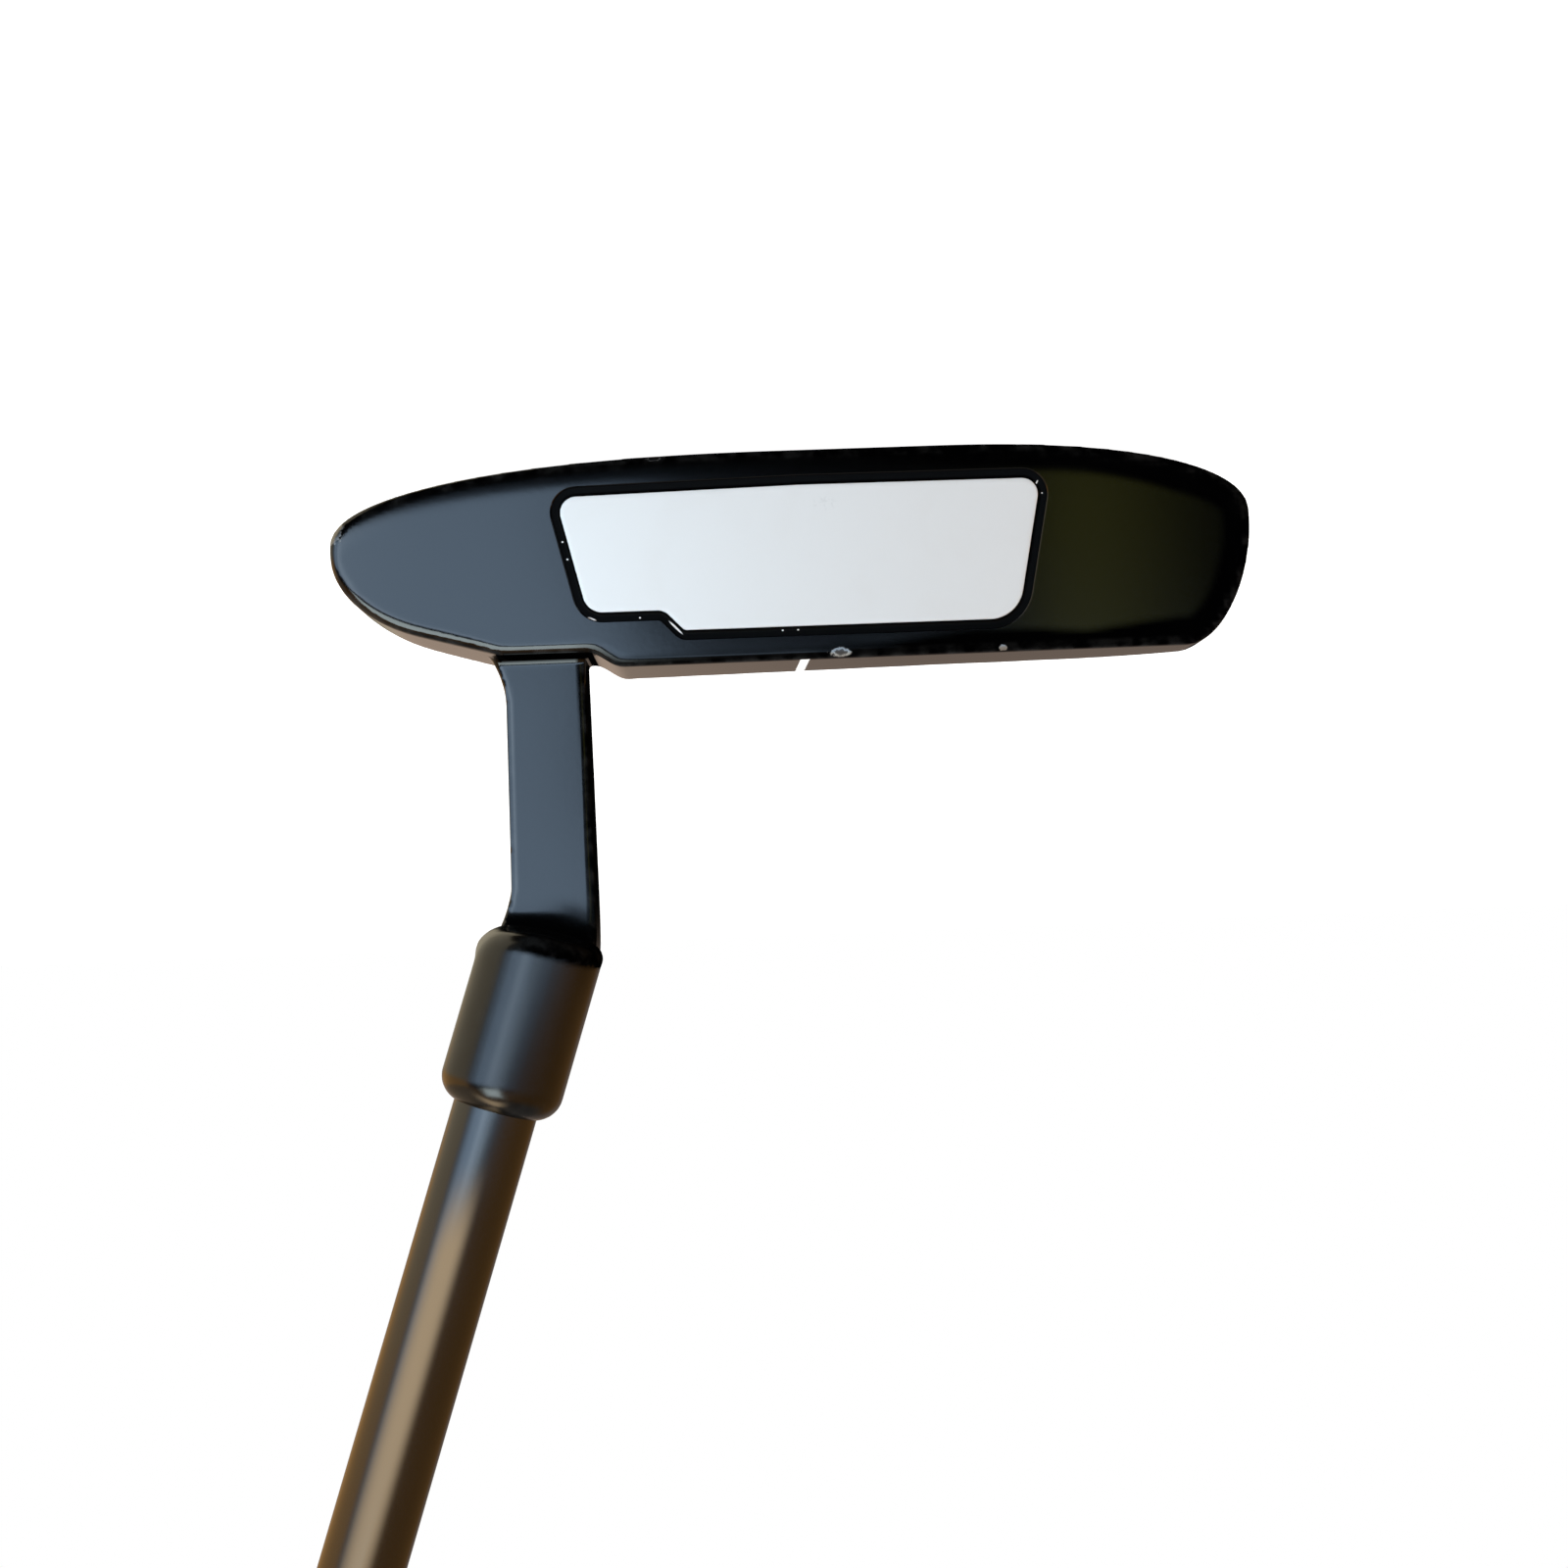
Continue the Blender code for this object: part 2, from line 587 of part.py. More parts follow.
def shaft_radii():
    """Heights and radii of the shaft's outside, from tip to butt, with a short ramp at each step."""
    start = BARREL_START + BARREL_LENGTH + FIRST_STEP
    pitch = (SHAFT_TOP - BUTT_RUN - start) / (STEP_COUNT - 1)
    rise = (SHAFT_BUTT_RADIUS - SHAFT_TIP_RADIUS) / STEP_COUNT
    profile = [(SHAFT_TIP_RADIUS, SHAFT_FOOT)]
    for step in range(STEP_COUNT):
        height = start + pitch * step
        profile.append((SHAFT_TIP_RADIUS + rise * step, height))
        profile.append((SHAFT_TIP_RADIUS + rise * (step + 1), height + STEP_RAMP))
    profile.append((SHAFT_BUTT_RADIUS, SHAFT_TOP))
    return profile


def make_shaft(parts, axis, material):
    outside = shaft_radii()
    inside = [(radius - SHAFT_WALL, height) for radius, height in outside]
    shaft = turned("shaft", outside[::-1] + inside, parts)
    return finish_part(shaft, material, axis)


def make_epoxy(parts, axis, material):
    """The sleeve of adhesive between the shaft's tip and the bore."""
    inner = SHAFT_TIP_RADIUS + FIT_GAP
    outer = inner + EPOXY_THICKNESS
    foot = SHAFT_FOOT
    top = BARREL_START + BARREL_LENGTH - BARREL_LIP / 2
    profile = [(outer, top), (outer, foot), (inner, foot), (inner, top)]
    return finish_part(turned("shaft_epoxy", profile, parts), material, axis)


def make_plug(parts, axis, material):
    """The stopper that keeps adhesive out of the shaft."""
    radius = SHAFT_TIP_RADIUS - SHAFT_WALL - FIT_GAP
    foot = SHAFT_FOOT
    top = foot + PLUG_LENGTH
    profile = [(0, top), (radius, top), (radius, foot), (0, foot)]
    return finish_part(turned("tip_plug", profile, parts, closed=False), material, axis)


def make_grip_tape(parts, axis, material):
    inner = SHAFT_BUTT_RADIUS + FIT_GAP
    outer = inner + GRIP_TAPE_THICKNESS
    foot = GRIP_FOOT + GRIP_TAPE_INSET
    profile = [(outer, SHAFT_TOP), (outer, foot), (inner, foot), (inner, SHAFT_TOP)]
    return finish_part(turned("grip_tape", profile, parts), material, axis)


def ring(radius, height):
    """A round ring of points about the shaft's axis."""
    points = []
    for index in range(RING_POINTS):
        angle = 2 * math.pi * index / RING_POINTS
        points.append((radius * math.cos(angle), radius * math.sin(angle), height))
    return points


def grip_ring(height, inset=0.0):
    """A section of the grip: round behind, swollen towards the butt, with the thumb flat on the -X side."""
    up = max(0.0, min(1.0, height / GRIP_LENGTH))
    radius = GRIP_BORE + GRIP_MOUTH_WALL + (GRIP_TOP_WALL - GRIP_MOUTH_WALL) * up * (2 - up)
    swell = PISTOL_SWELL * math.exp(-(((height - PISTOL_CENTRE) / PISTOL_SPREAD) ** 2))
    flat = GRIP_BORE + GRIP_FLAT_WALL
    points = []
    for index in range(RING_POINTS):
        angle = 2 * math.pi * index / RING_POINTS
        reach = radius + swell * max(0.0, math.cos(angle)) ** 2
        x = max(-flat, reach * math.cos(angle))
        y = reach * math.sin(angle)
        shrink = 1 - inset / radius
        points.append((x * shrink, y * shrink, GRIP_FOOT + height))
    return points


def make_grip(parts, axis, material):
    """The rubber sleeve, a loft from its round mouth to its flat-fronted butt."""
    sections = [GRIP_LENGTH * index / (GRIP_SECTIONS - 1) for index in range(GRIP_SECTIONS)]
    rings = [grip_ring(height) for height in sections]
    rings += [ring(GRIP_BORE, GRIP_TOP), ring(GRIP_BORE, GRIP_FOOT)]
    return finish_part(looped_loft("grip", rings, parts), material, axis)


def make_grip_cap(parts, axis, material):
    """The butt cap with its vent hole and the spigot that seats in the grip."""
    seat = GRIP_LENGTH + FIT_GAP
    spigot = GRIP_BORE - FIT_GAP
    foot = GRIP_TOP - CAP_SPIGOT
    rings = [
        grip_ring(seat),
        grip_ring(seat + CAP_THICKNESS - CAP_ROUNDING),
        grip_ring(seat + CAP_THICKNESS, CAP_ROUNDING),
        ring(VENT_RADIUS, GRIP_FOOT + seat + CAP_THICKNESS),
        ring(VENT_RADIUS, foot),
        ring(spigot, foot),
        ring(spigot, GRIP_FOOT + seat),
    ]
    return finish_part(looped_loft("grip_cap", rings, parts), material, axis)


def make_axis(parts):
    """The empty that carries all that is turned about the shaft: where the shaft's line meets the ground."""
    axis = bpy.data.objects.new("shaft_axis", None)
    axis.location = (AXIS_FOOT_X, -AXIS_LEAD, 0)
    axis.rotation_euler = (0, math.pi / 2 - LIE, 0)
    parts.objects.link(axis)
    return axis


def stand_on_origin(collection):
    """Moves a collection so that the middle of the sole's land, not the leading edge, lies on the origin."""
    for obj in collection.objects:
        if not obj.parent:
            obj.location.y -= ORIGIN_SETBACK


def main():
    clear_scene()
    parts = new_collection("blade_putter")
    cutters = new_collection("cutters")
    axis = make_axis(parts)
    black = new_material("satin_black_paint", (0.012, 0.013, 0.015), 0.35, 0.0)
    make_head(parts, cutters, axis, black)
    make_insert(parts, new_material("white_urethane", (0.78, 0.79, 0.8), 0.5, 0.0))
    make_bead(parts, cutters, new_material("black_resin", (0.004, 0.004, 0.005), 0.12, 0.0))
    make_tape(parts, new_material("bonding_tape", (0.3, 0.3, 0.31), 0.8, 0.0))
    make_mark(parts, new_material("white_mark_paint", (0.8, 0.8, 0.78), 0.5, 0.0))
    make_shaft(parts, axis, new_material("black_shaft_paint", (0.01, 0.01, 0.012), 0.3, 0.0))
    make_epoxy(parts, axis, new_material("epoxy", (0.5, 0.42, 0.2), 0.4, 0.0))
    make_plug(parts, axis, new_material("plug_cork", (0.45, 0.3, 0.17), 0.9, 0.0))
    make_grip_tape(parts, axis, new_material("grip_tape_paper", (0.6, 0.55, 0.42), 0.9, 0.0))
    make_grip(parts, axis, new_material("grip_rubber", (0.015, 0.015, 0.016), 0.8, 0.0))
    make_grip_cap(parts, axis, new_material("cap_rubber", (0.02, 0.02, 0.021), 0.6, 0.0))
    stand_on_origin(parts)
    stand_on_origin(cutters)
    for cutter in cutters.objects:
        cutter.hide_render = True
        cutter.display_type = "WIRE"
    cutters.hide_render = True


main()
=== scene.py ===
"""Looks of a blade putter with a plumber's neck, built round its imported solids.

Metres, +Z up, in the frame of the solids: the sole rests on the origin, the face looks along -Y, the heel is
at +X and the shaft leans towards +X. Sizes below are in millimetres, and meshes are scaled as they are made.
"""

from __future__ import annotations

import functools
import logging
import math
from collections.abc import Iterable, Sequence
from dataclasses import dataclass, field
from enum import Enum
from typing import Any

import bmesh
import bpy
import numpy as np
import openvdb
from mathutils import Matrix, Vector


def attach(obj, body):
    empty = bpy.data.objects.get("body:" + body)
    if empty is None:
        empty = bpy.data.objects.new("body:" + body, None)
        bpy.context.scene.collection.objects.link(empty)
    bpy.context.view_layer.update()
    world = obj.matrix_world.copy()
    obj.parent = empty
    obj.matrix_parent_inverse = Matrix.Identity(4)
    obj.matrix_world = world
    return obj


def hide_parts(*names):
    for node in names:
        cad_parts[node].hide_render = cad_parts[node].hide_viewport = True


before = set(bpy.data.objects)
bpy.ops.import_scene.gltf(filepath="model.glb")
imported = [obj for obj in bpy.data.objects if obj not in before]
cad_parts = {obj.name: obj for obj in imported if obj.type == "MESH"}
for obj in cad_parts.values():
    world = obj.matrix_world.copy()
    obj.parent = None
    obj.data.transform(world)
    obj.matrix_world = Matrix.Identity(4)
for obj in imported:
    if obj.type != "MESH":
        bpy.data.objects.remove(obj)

LOG = logging.getLogger("putter")
MM = 0.001
BODY = "root"
Point2 = tuple[float, float]
Point3 = tuple[float, float, float]
Corner = tuple[float, float, float]
Colour = tuple[float, float, float]

# Shares at the places where something comes up, fades away, or does both
RISE = (0.0, 1.0)
FALL = (1.0, 0.0)
BAND = (0.0, 1.0, 1.0, 0.0)


class Slot(Enum):
    """Names of the material slots that the new pieces stand for."""

    HEAD = "head_paint"
    INSERT = "insert_urethane"
    BEAD = "bead_resin"
    MARK = "mark_paint"
    SHAFT = "shaft_paint"
    GRIP = "grip_rubber"
    CAP = "cap_rubber"


# Outlines


def smooth(share: float) -> float:
    """Eases a share at both ends."""
    return share * share * (3 - 2 * share)


def quarter(centre: Point2, run: float, rise: float, fullness: float, backwards: bool = False,
            steps: int = 40) -> list[Point2]:
    """Traces one quarter of a superellipse.

    Args:
        centre: Centre of the superellipse.
        run: Half-width along the first axis; its sign picks the side.
        rise: Half-width along the second axis; its sign picks the side.
        fullness: Exponent; 2 gives an ellipse.
        backwards: Whether to go from the end of the rise to the end of the run.
        steps: Number of chords.

    Returns:
        The points in order.
    """
    points = []
    for step in range(steps + 1):
        angle = step / steps * math.pi / 2
        across = math.cos(angle) ** (2 / fullness)
        along = math.sin(angle) ** (2 / fullness)
        points.append((centre[0] + run * across, centre[1] + rise * along))
    return points[::-1] if backwards else points


def arc(centre: Point2, radius: float, start: float, end: float, steps: int = 12) -> list[Point2]:
    """Traces an arc.

    Args:
        centre: Centre of the arc.
        radius: Its radius.
        start: First angle, in radians.
        end: Last angle, in radians.
        steps: Number of chords.

    Returns:
        The points in order.
    """
    angles = [start + (end - start) * step / steps for step in range(steps + 1)]
    return [(centre[0] + radius * math.cos(a), centre[1] + radius * math.sin(a)) for a in angles]


def rounded_polygon(corners: Sequence[Corner], grow: float = 0.0) -> list[Point2]:
    """Traces a polygon with rounded corners, moved outwards.

    Args:
        corners: Corners (x, y, radius), anticlockwise.
        grow: How far each side moves outwards.

    Returns:
        The outline, with as many points at every value of grow.
    """
    count = len(corners)
    lines = []
    for index in range(count):
        x0, y0, _ = corners[index]
        x1, y1, _ = corners[(index + 1) % count]
        length = math.hypot(x1 - x0, y1 - y0)
        along = ((x1 - x0) / length, (y1 - y0) / length)
        lines.append(((x0 + along[1] * grow, y0 - along[0] * grow), along))
    points: list[Point2] = []
    for index in range(count):
        (ax, ay), into = lines[index - 1]
        (bx, by), out = lines[index]
        turn = into[0] * out[1] - into[1] * out[0]
        reach = ((bx - ax) * out[1] - (by - ay) * out[0]) / turn
        tip = (ax + into[0] * reach, ay + into[1] * reach)
        side = math.copysign(1.0, turn)
        radius = corners[index][2] + side * grow
        angle = math.atan2(turn, into[0] * out[0] + into[1] * out[1])
        back = radius * math.tan(abs(angle) / 2)
        start = (tip[0] - into[0] * back, tip[1] - into[1] * back)
        centre = (start[0] - into[1] * radius * side, start[1] + into[0] * radius * side)
        first = math.atan2(start[1] - centre[1], start[0] - centre[0])
        points += arc(centre, radius, first, first + angle)
    return points


# Distance fields: negative inside, in millimetres


def outline_distance(outline: Sequence[Point2], u: np.ndarray, v: np.ndarray) -> np.ndarray:
    """Measures how far points lie from a closed outline.

    Args:
        outline: Corners of the outline.
        u: First coordinates, as a column.
        v: Second coordinates, as a row.

    Returns:
        The signed distance of every pair (u, v).
    """
    nearest = np.full(np.broadcast(u, v).shape, np.inf)
    inside = np.zeros(nearest.shape, bool)
    for (ax, ay), (bx, by) in zip(outline, [*outline[1:], outline[0]]):
        ex, ey = bx - ax, by - ay
        squared = ex * ex + ey * ey
        if squared < 1e-12:
            continue
        wx, wy = u - ax, v - ay
        share = np.clip((wx * ex + wy * ey) / squared, 0.0, 1.0)
        nearest = np.minimum(nearest, (wx - ex * share) ** 2 + (wy - ey * share) ** 2)
        if ay != by:
            inside ^= ((ay > v) != (by > v)) & (u < ax + ex * (v - ay) / (by - ay))
    return np.where(inside, -1.0, 1.0) * np.sqrt(nearest)


def soft_union(a: np.ndarray, b: np.ndarray, reach: float | np.ndarray) -> np.ndarray:
    """Joins two fields with a fillet that starts where they differ by reach."""
    mix = np.maximum(reach - np.abs(a - b), 0.0) / reach
    return np.minimum(a, b) - mix * mix * reach / 4


def soft_meet(a: np.ndarray, b: np.ndarray, reach: float | np.ndarray) -> np.ndarray:
    """Intersects two fields and eases the edge where they differ by less than reach."""
    return -soft_union(-a, -b, reach)


def round_meet(a: np.ndarray, b: np.ndarray, radius: float | np.ndarray) -> np.ndarray:
    """Intersects two fields and rounds the edge to a radius."""
    outside = np.hypot(np.maximum(a + radius, 0.0), np.maximum(b + radius, 0.0))
    return np.minimum(np.maximum(a, b), -radius) + outside


# Meshes


def new_piece(name: str, points: np.ndarray, faces: Iterable[Sequence[int]],
              sharp: float = 35.0) -> bpy.types.Object:
    """Makes a mesh object at the origin.

    Args:
        name: Name of the object.
        points: Vertices in millimetres.
        faces: Vertex indices of each face.
        sharp: Angle in degrees past which an edge is shaded sharp.

    Returns:
        The object, linked to the scene, with its normals pointing outwards.
    """
    mesh = bpy.data.meshes.new(name)
    mesh.from_pydata((np.asarray(points, float) * MM).tolist(), [], [tuple(map(int, face)) for face in faces])
    piece = bpy.data.objects.new(name, mesh)
    bpy.context.scene.collection.objects.link(piece)
    shape = bmesh.new()
    shape.from_mesh(mesh)
    bmesh.ops.recalc_face_normals(shape, faces=shape.faces)
    shape.to_mesh(mesh)
    shape.free()
    shade(mesh, sharp)
    return piece


def shade(mesh: bpy.types.Mesh, sharp: float) -> None:
    """Shades a mesh smooth, except across edges sharper than an angle in degrees."""
    mesh.shade_smooth()
    mesh.set_sharp_from_angle(angle=math.radians(sharp))


def loft(rings: Sequence[np.ndarray], ends: bool) -> tuple[np.ndarray, list[tuple[int, ...]]]:
    """Skins rings of points.

    Args:
        rings: Closed rings with equal counts.
        ends: Whether to cap the first and the last ring; if not, the last one joins the first.

    Returns:
        The points and the faces of a closed surface.
    """
    count = len(rings[0])
    faces: list[tuple[int, ...]] = []
    for index in range(len(rings) - (1 if ends else 0)):
        here, there = index * count, (index + 1) % len(rings) * count
        for place in range(count):
            beside = (place + 1) % count
            faces.append((here + place, here + beside, there + beside, there + place))
    if ends:
        last = (len(rings) - 1) * count
        faces.append(tuple(range(count))[::-1])
        faces.append(tuple(last + place for place in range(count)))
    return np.concatenate(rings), faces


def turned(profile: Sequence[Point2], count: int) -> list[np.ndarray]:
    """Turns a profile of (radius, height) about the local Z axis into rings of points."""
    angles = np.linspace(0, 2 * math.pi, count, endpoint=False)
    return [np.stack([r * np.cos(angles), r * np.sin(angles), np.full(count, h)], 1) for r, h in profile]


def freeze(piece: bpy.types.Object) -> None:
    """Applies a piece's modifiers to its mesh.

    Args:
        piece: The piece, whose old mesh is removed.
    """
    bpy.context.view_layer.update()
    graph = bpy.context.evaluated_depsgraph_get()
    mesh = bpy.data.meshes.new_from_object(piece.evaluated_get(graph))
    piece.modifiers.clear()
    old, piece.data = piece.data, mesh
    mesh.name = piece.name
    bpy.data.meshes.remove(old)


def cut(piece: bpy.types.Object, cutters: Sequence[bpy.types.Object]) -> None:
    """Cuts closed meshes out of a piece.

    Args:
        piece: The piece, which is closed too.
        cutters: The meshes to cut away, which are then removed.
    """
    for cutter in cutters:
        boolean = piece.modifiers.new(cutter.name, "BOOLEAN")
        boolean.operation = "DIFFERENCE"
        boolean.solver = "MANIFOLD"
        boolean.object = cutter
    freeze(piece)
    for cutter in cutters:
        bpy.data.objects.remove(cutter, do_unlink=True)


def settle(piece: bpy.types.Object, slot: Slot, *nodes: str) -> bpy.types.Object:
    """Hangs a finished piece on the club.

    Args:
        piece: The finished piece.
        slot: Not used.
        *nodes: The solids that it stands for.

    Returns:
        The piece.
    """
    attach(piece, BODY)
    if nodes:
        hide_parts(*nodes)
    LOG.info("%s: %d faces for %s", piece.name, len(piece.data.polygons), ", ".join(nodes) or "detail")
    return piece


# Node trees


class Graph:
    """Short calls for building a node tree."""

    def __init__(self, tree: bpy.types.NodeTree) -> None:
        """Wraps a tree."""
        self.tree = tree

    def plug(self, socket: bpy.types.NodeSocket, value: Any) -> None:
        """Links a socket to another, or sets its value.

        Args:
            socket: The input to feed.
            value: A socket, a colour or a plain value.
        """
        if isinstance(value, bpy.types.NodeSocket):
            self.tree.links.new(value, socket)
        elif isinstance(value, tuple) and socket.type == "RGBA":
            socket.default_value = (*value[:3], 1.0)
        else:
            socket.default_value = value

    def feed(self, node: bpy.types.Node, inputs: dict[str | int, Any]) -> None:
        """Plugs values or sockets into a node's inputs, by name or place."""
        for key, value in inputs.items():
            self.plug(node.inputs[key], value)

    def node(self, kind: str, inputs: dict[str | int, Any] | None = None, **settings: Any) -> bpy.types.Node:
        """Adds a node.

        Args:
            kind: Its type's name.
            inputs: Values or sockets for its inputs, by name or place.
            **settings: Its properties.

        Returns:
            The node.
        """
        node = self.tree.nodes.new(kind)
        for name, value in settings.items():
            setattr(node, name, value)
        self.feed(node, inputs or {})
        return node

    def math(self, operation: str, a: Any, b: Any = 0.0, c: Any = 0.0) -> bpy.types.NodeSocket:
        """Adds a Math node and returns its result."""
        return self.node("ShaderNodeMath", {0: a, 1: b, 2: c}, operation=operation).outputs[0]

    def vector(self, operation: str, a: Any, b: Any = (0.0, 0.0, 0.0)) -> bpy.types.NodeSocket:
        """Adds a Vector Math node and returns its result."""
        node = self.node("ShaderNodeVectorMath", {0: a, 1: b}, operation=operation)
        return node.outputs["Value" if operation in ("LENGTH", "DOT_PRODUCT") else "Vector"]

    def scaled(self, vector: Any, share: Any) -> bpy.types.NodeSocket:
        """Scales a vector by a number."""
        node = self.node("ShaderNodeVectorMath", {0: vector, "Scale": share}, operation="SCALE")
        return node.outputs["Vector"]

    def parts(self, vector: Any) -> bpy.types.bpy_prop_collection:
        """Splits a vector into X, Y and Z."""
        return self.node("ShaderNodeSeparateXYZ", {0: vector}).outputs

    def attribute(self, name: str) -> bpy.types.NodeSocket:
        """Reads a number that the piece's points hold."""
        return self.node("ShaderNodeAttribute", attribute_name=name).outputs["Fac"]

    def product(self, *shares: Any) -> bpy.types.NodeSocket:
        """Multiplies shares."""
        return functools.reduce(functools.partial(self.math, "MULTIPLY"), shares)

    def largest(self, shares: Iterable[Any]) -> bpy.types.NodeSocket:
        """Gives the largest of some shares."""
        return functools.reduce(functools.partial(self.math, "MAXIMUM"), shares)

    def step(self, value: Any, low: float, high: float, start: float = 0.0,
             end: float = 1.0) -> bpy.types.NodeSocket:
        """Eases from start to end as a value goes from low to high."""
        inputs = {0: value, 1: low, 2: high, 3: start, 4: end}
        return self.node("ShaderNodeMapRange", inputs, interpolation_type="SMOOTHSTEP").outputs[0]

    def mix(self, share: Any, a: Any, b: Any) -> bpy.types.NodeSocket:
        """Mixes two colours, with so large a share of the second."""
        return self.node("ShaderNodeMix", {0: share, 6: a, 7: b}, data_type="RGBA").outputs[2]

    def millimetres(self) -> bpy.types.NodeSocket:
        """Gives the piece's own coordinates in millimetres."""
        place = self.node("ShaderNodeTexCoord").outputs["Object"]
        return self.vector("MULTIPLY", place, (1000.0, 1000.0, 1000.0))

    def noise(self, place: Any, scale: float, detail: float = 2.0,
              distortion: float = 0.0) -> bpy.types.NodeSocket:
        """Adds a noise of so many bumps a millimetre and returns its value."""
        inputs = {"Vector": place, "Scale": scale, "Detail": detail, "Distortion": distortion}
        return self.node("ShaderNodeTexNoise", inputs).outputs[0]

    def bump(self, height: Any, depth: float) -> bpy.types.NodeSocket:
        """Adds a bump of a depth in millimetres and returns its normal."""
        inputs = {"Strength": 1.0, "Distance": depth * MM, "Height": height}
        return self.node("ShaderNodeBump", inputs).outputs[0]


# Finishes


@dataclass(frozen=True)
class Finish:
    """A surface finish that dresses one material."""

    name: str

    def material(self) -> bpy.types.Material:
        """Makes the material, unless it was made before.

        Returns:
            The material.
        """
        found = bpy.data.materials.get(self.name)
        if found:
            return found
        material = bpy.data.materials.new(self.name)
        material.use_nodes = True
        graph = Graph(material.node_tree)
        graph.feed(material.node_tree.nodes["Principled BSDF"], self.dress(graph))
        return material

    def dress(self, graph: Graph) -> dict[str, Any]:
        """Builds the finish's nodes and returns what feeds the shader, by input."""
        raise NotImplementedError

    def put_on(self, piece: bpy.types.Object) -> None:
        """Gives the material to every face of a piece."""
        piece.data.materials.clear()
        piece.data.materials.append(self.material())


@dataclass(frozen=True)
class Chip:
    """A place where paint is knocked off, as an ellipsoid in millimetres.

    Its edge is ragged, and ring says how much of the paint its middle kept.
    """

    centre: Point3
    reach: Point3
    ring: float = 0.0
    raggedness: float = 1.1
    edge: Point2 = (1.6, 1.35)
    ring_edge: Point2 = (0.95, 1.2)

    def mask(self, graph: Graph, place: Any, ragged: Any) -> bpy.types.NodeSocket:
        """Masks the chip.

        Args:
            graph: The material's tree.
            place: Coordinates in millimetres.
            ragged: Noise that breaks the edge up.

        Returns:
            The share of bare steel.
        """
        offset = graph.vector("DIVIDE", graph.vector("SUBTRACT", place, self.centre), self.reach)
        distance = graph.math("MULTIPLY_ADD", ragged, self.raggedness, graph.vector("LENGTH", offset))
        mask = graph.step(distance, *self.edge)
        if self.ring:
            mask = graph.product(mask, graph.step(distance, *self.ring_edge, 1.0 - self.ring, 1.0))
        return mask


@dataclass(frozen=True)
class SatinPaint(Finish):
    """Black paint with a faint orange peel, worn edges and chips down to the steel, and painted shade where
    its shine is taken off.
    """

    colour: Colour = (0.0003, 0.0003, 0.0004)
    faded: Colour = (0.0006, 0.0006, 0.0007)
    rubbed_colour: Colour = (0.012, 0.012, 0.012)
    steel: Colour = (0.36, 0.35, 0.34)
    cloud_scale: float = 0.07
    roughness: float = 0.1
    spread: float = 0.03
    dull: float = 0.0
    dull_from: Point2 = (50.0, 58.0)
    index: float = 1.7
    peel: float = 0.0016
    peel_scale: float = 1.3
    # Turns on the worn edges and the painted shade together
    rubbed_and_shaded: bool = False
    rub_scale: float = 0.5
    rub_from: Point2 = (0.4, 0.7)
    shine: float = 0.5
    shaded_shine: float = 0.0
    chips: tuple[Chip, ...] = ()
    chip_scale: float = 2.4
    chip_roughness: float = 0.18

    def dress(self, graph: Graph) -> dict[str, Any]:
        """Builds the finish's nodes.

        Args:
            graph: The material's tree.

        Returns:
            What feeds the shader, by input.
        """
        place = graph.millimetres()
        cloud = graph.noise(place, self.cloud_scale, 3.0)
        colour = graph.mix(cloud, self.colour, self.faded)
        roughness = graph.math("MULTIPLY_ADD", cloud, self.spread, self.roughness)
        fed = {"IOR": self.index, "Normal": graph.bump(graph.noise(place, self.peel_scale), self.peel)}
        if self.dull:
            dulled = graph.step(graph.parts(place)["Z"], *self.dull_from, 0.0, self.dull)
            roughness = graph.math("ADD", roughness, dulled)
        if self.rubbed_and_shaded:
            patches = graph.step(graph.noise(place, self.rub_scale, 4.0), *self.rub_from)
            colour = graph.mix(graph.product(graph.attribute("edge"), patches), colour, self.rubbed_colour)
            # Painted shade: the paint's shine is taken off in the zones that the head marks, so they stay
            # black as though in shade
            loss = self.shaded_shine - self.shine
            fed["Specular IOR Level"] = graph.math("MULTIPLY_ADD", graph.attribute("painted_shade"), loss, self.shine)
        if self.chips:
            ragged = graph.noise(place, self.chip_scale, 3.0)
            bare = graph.largest(chip.mask(graph, place, ragged) for chip in self.chips)
            colour = graph.mix(bare, colour, self.steel)
            roughness = graph.math("MULTIPLY_ADD", bare, self.chip_roughness, roughness)
            fed["Metallic"] = bare
        return {**fed, "Base Color": colour, "Roughness": roughness}


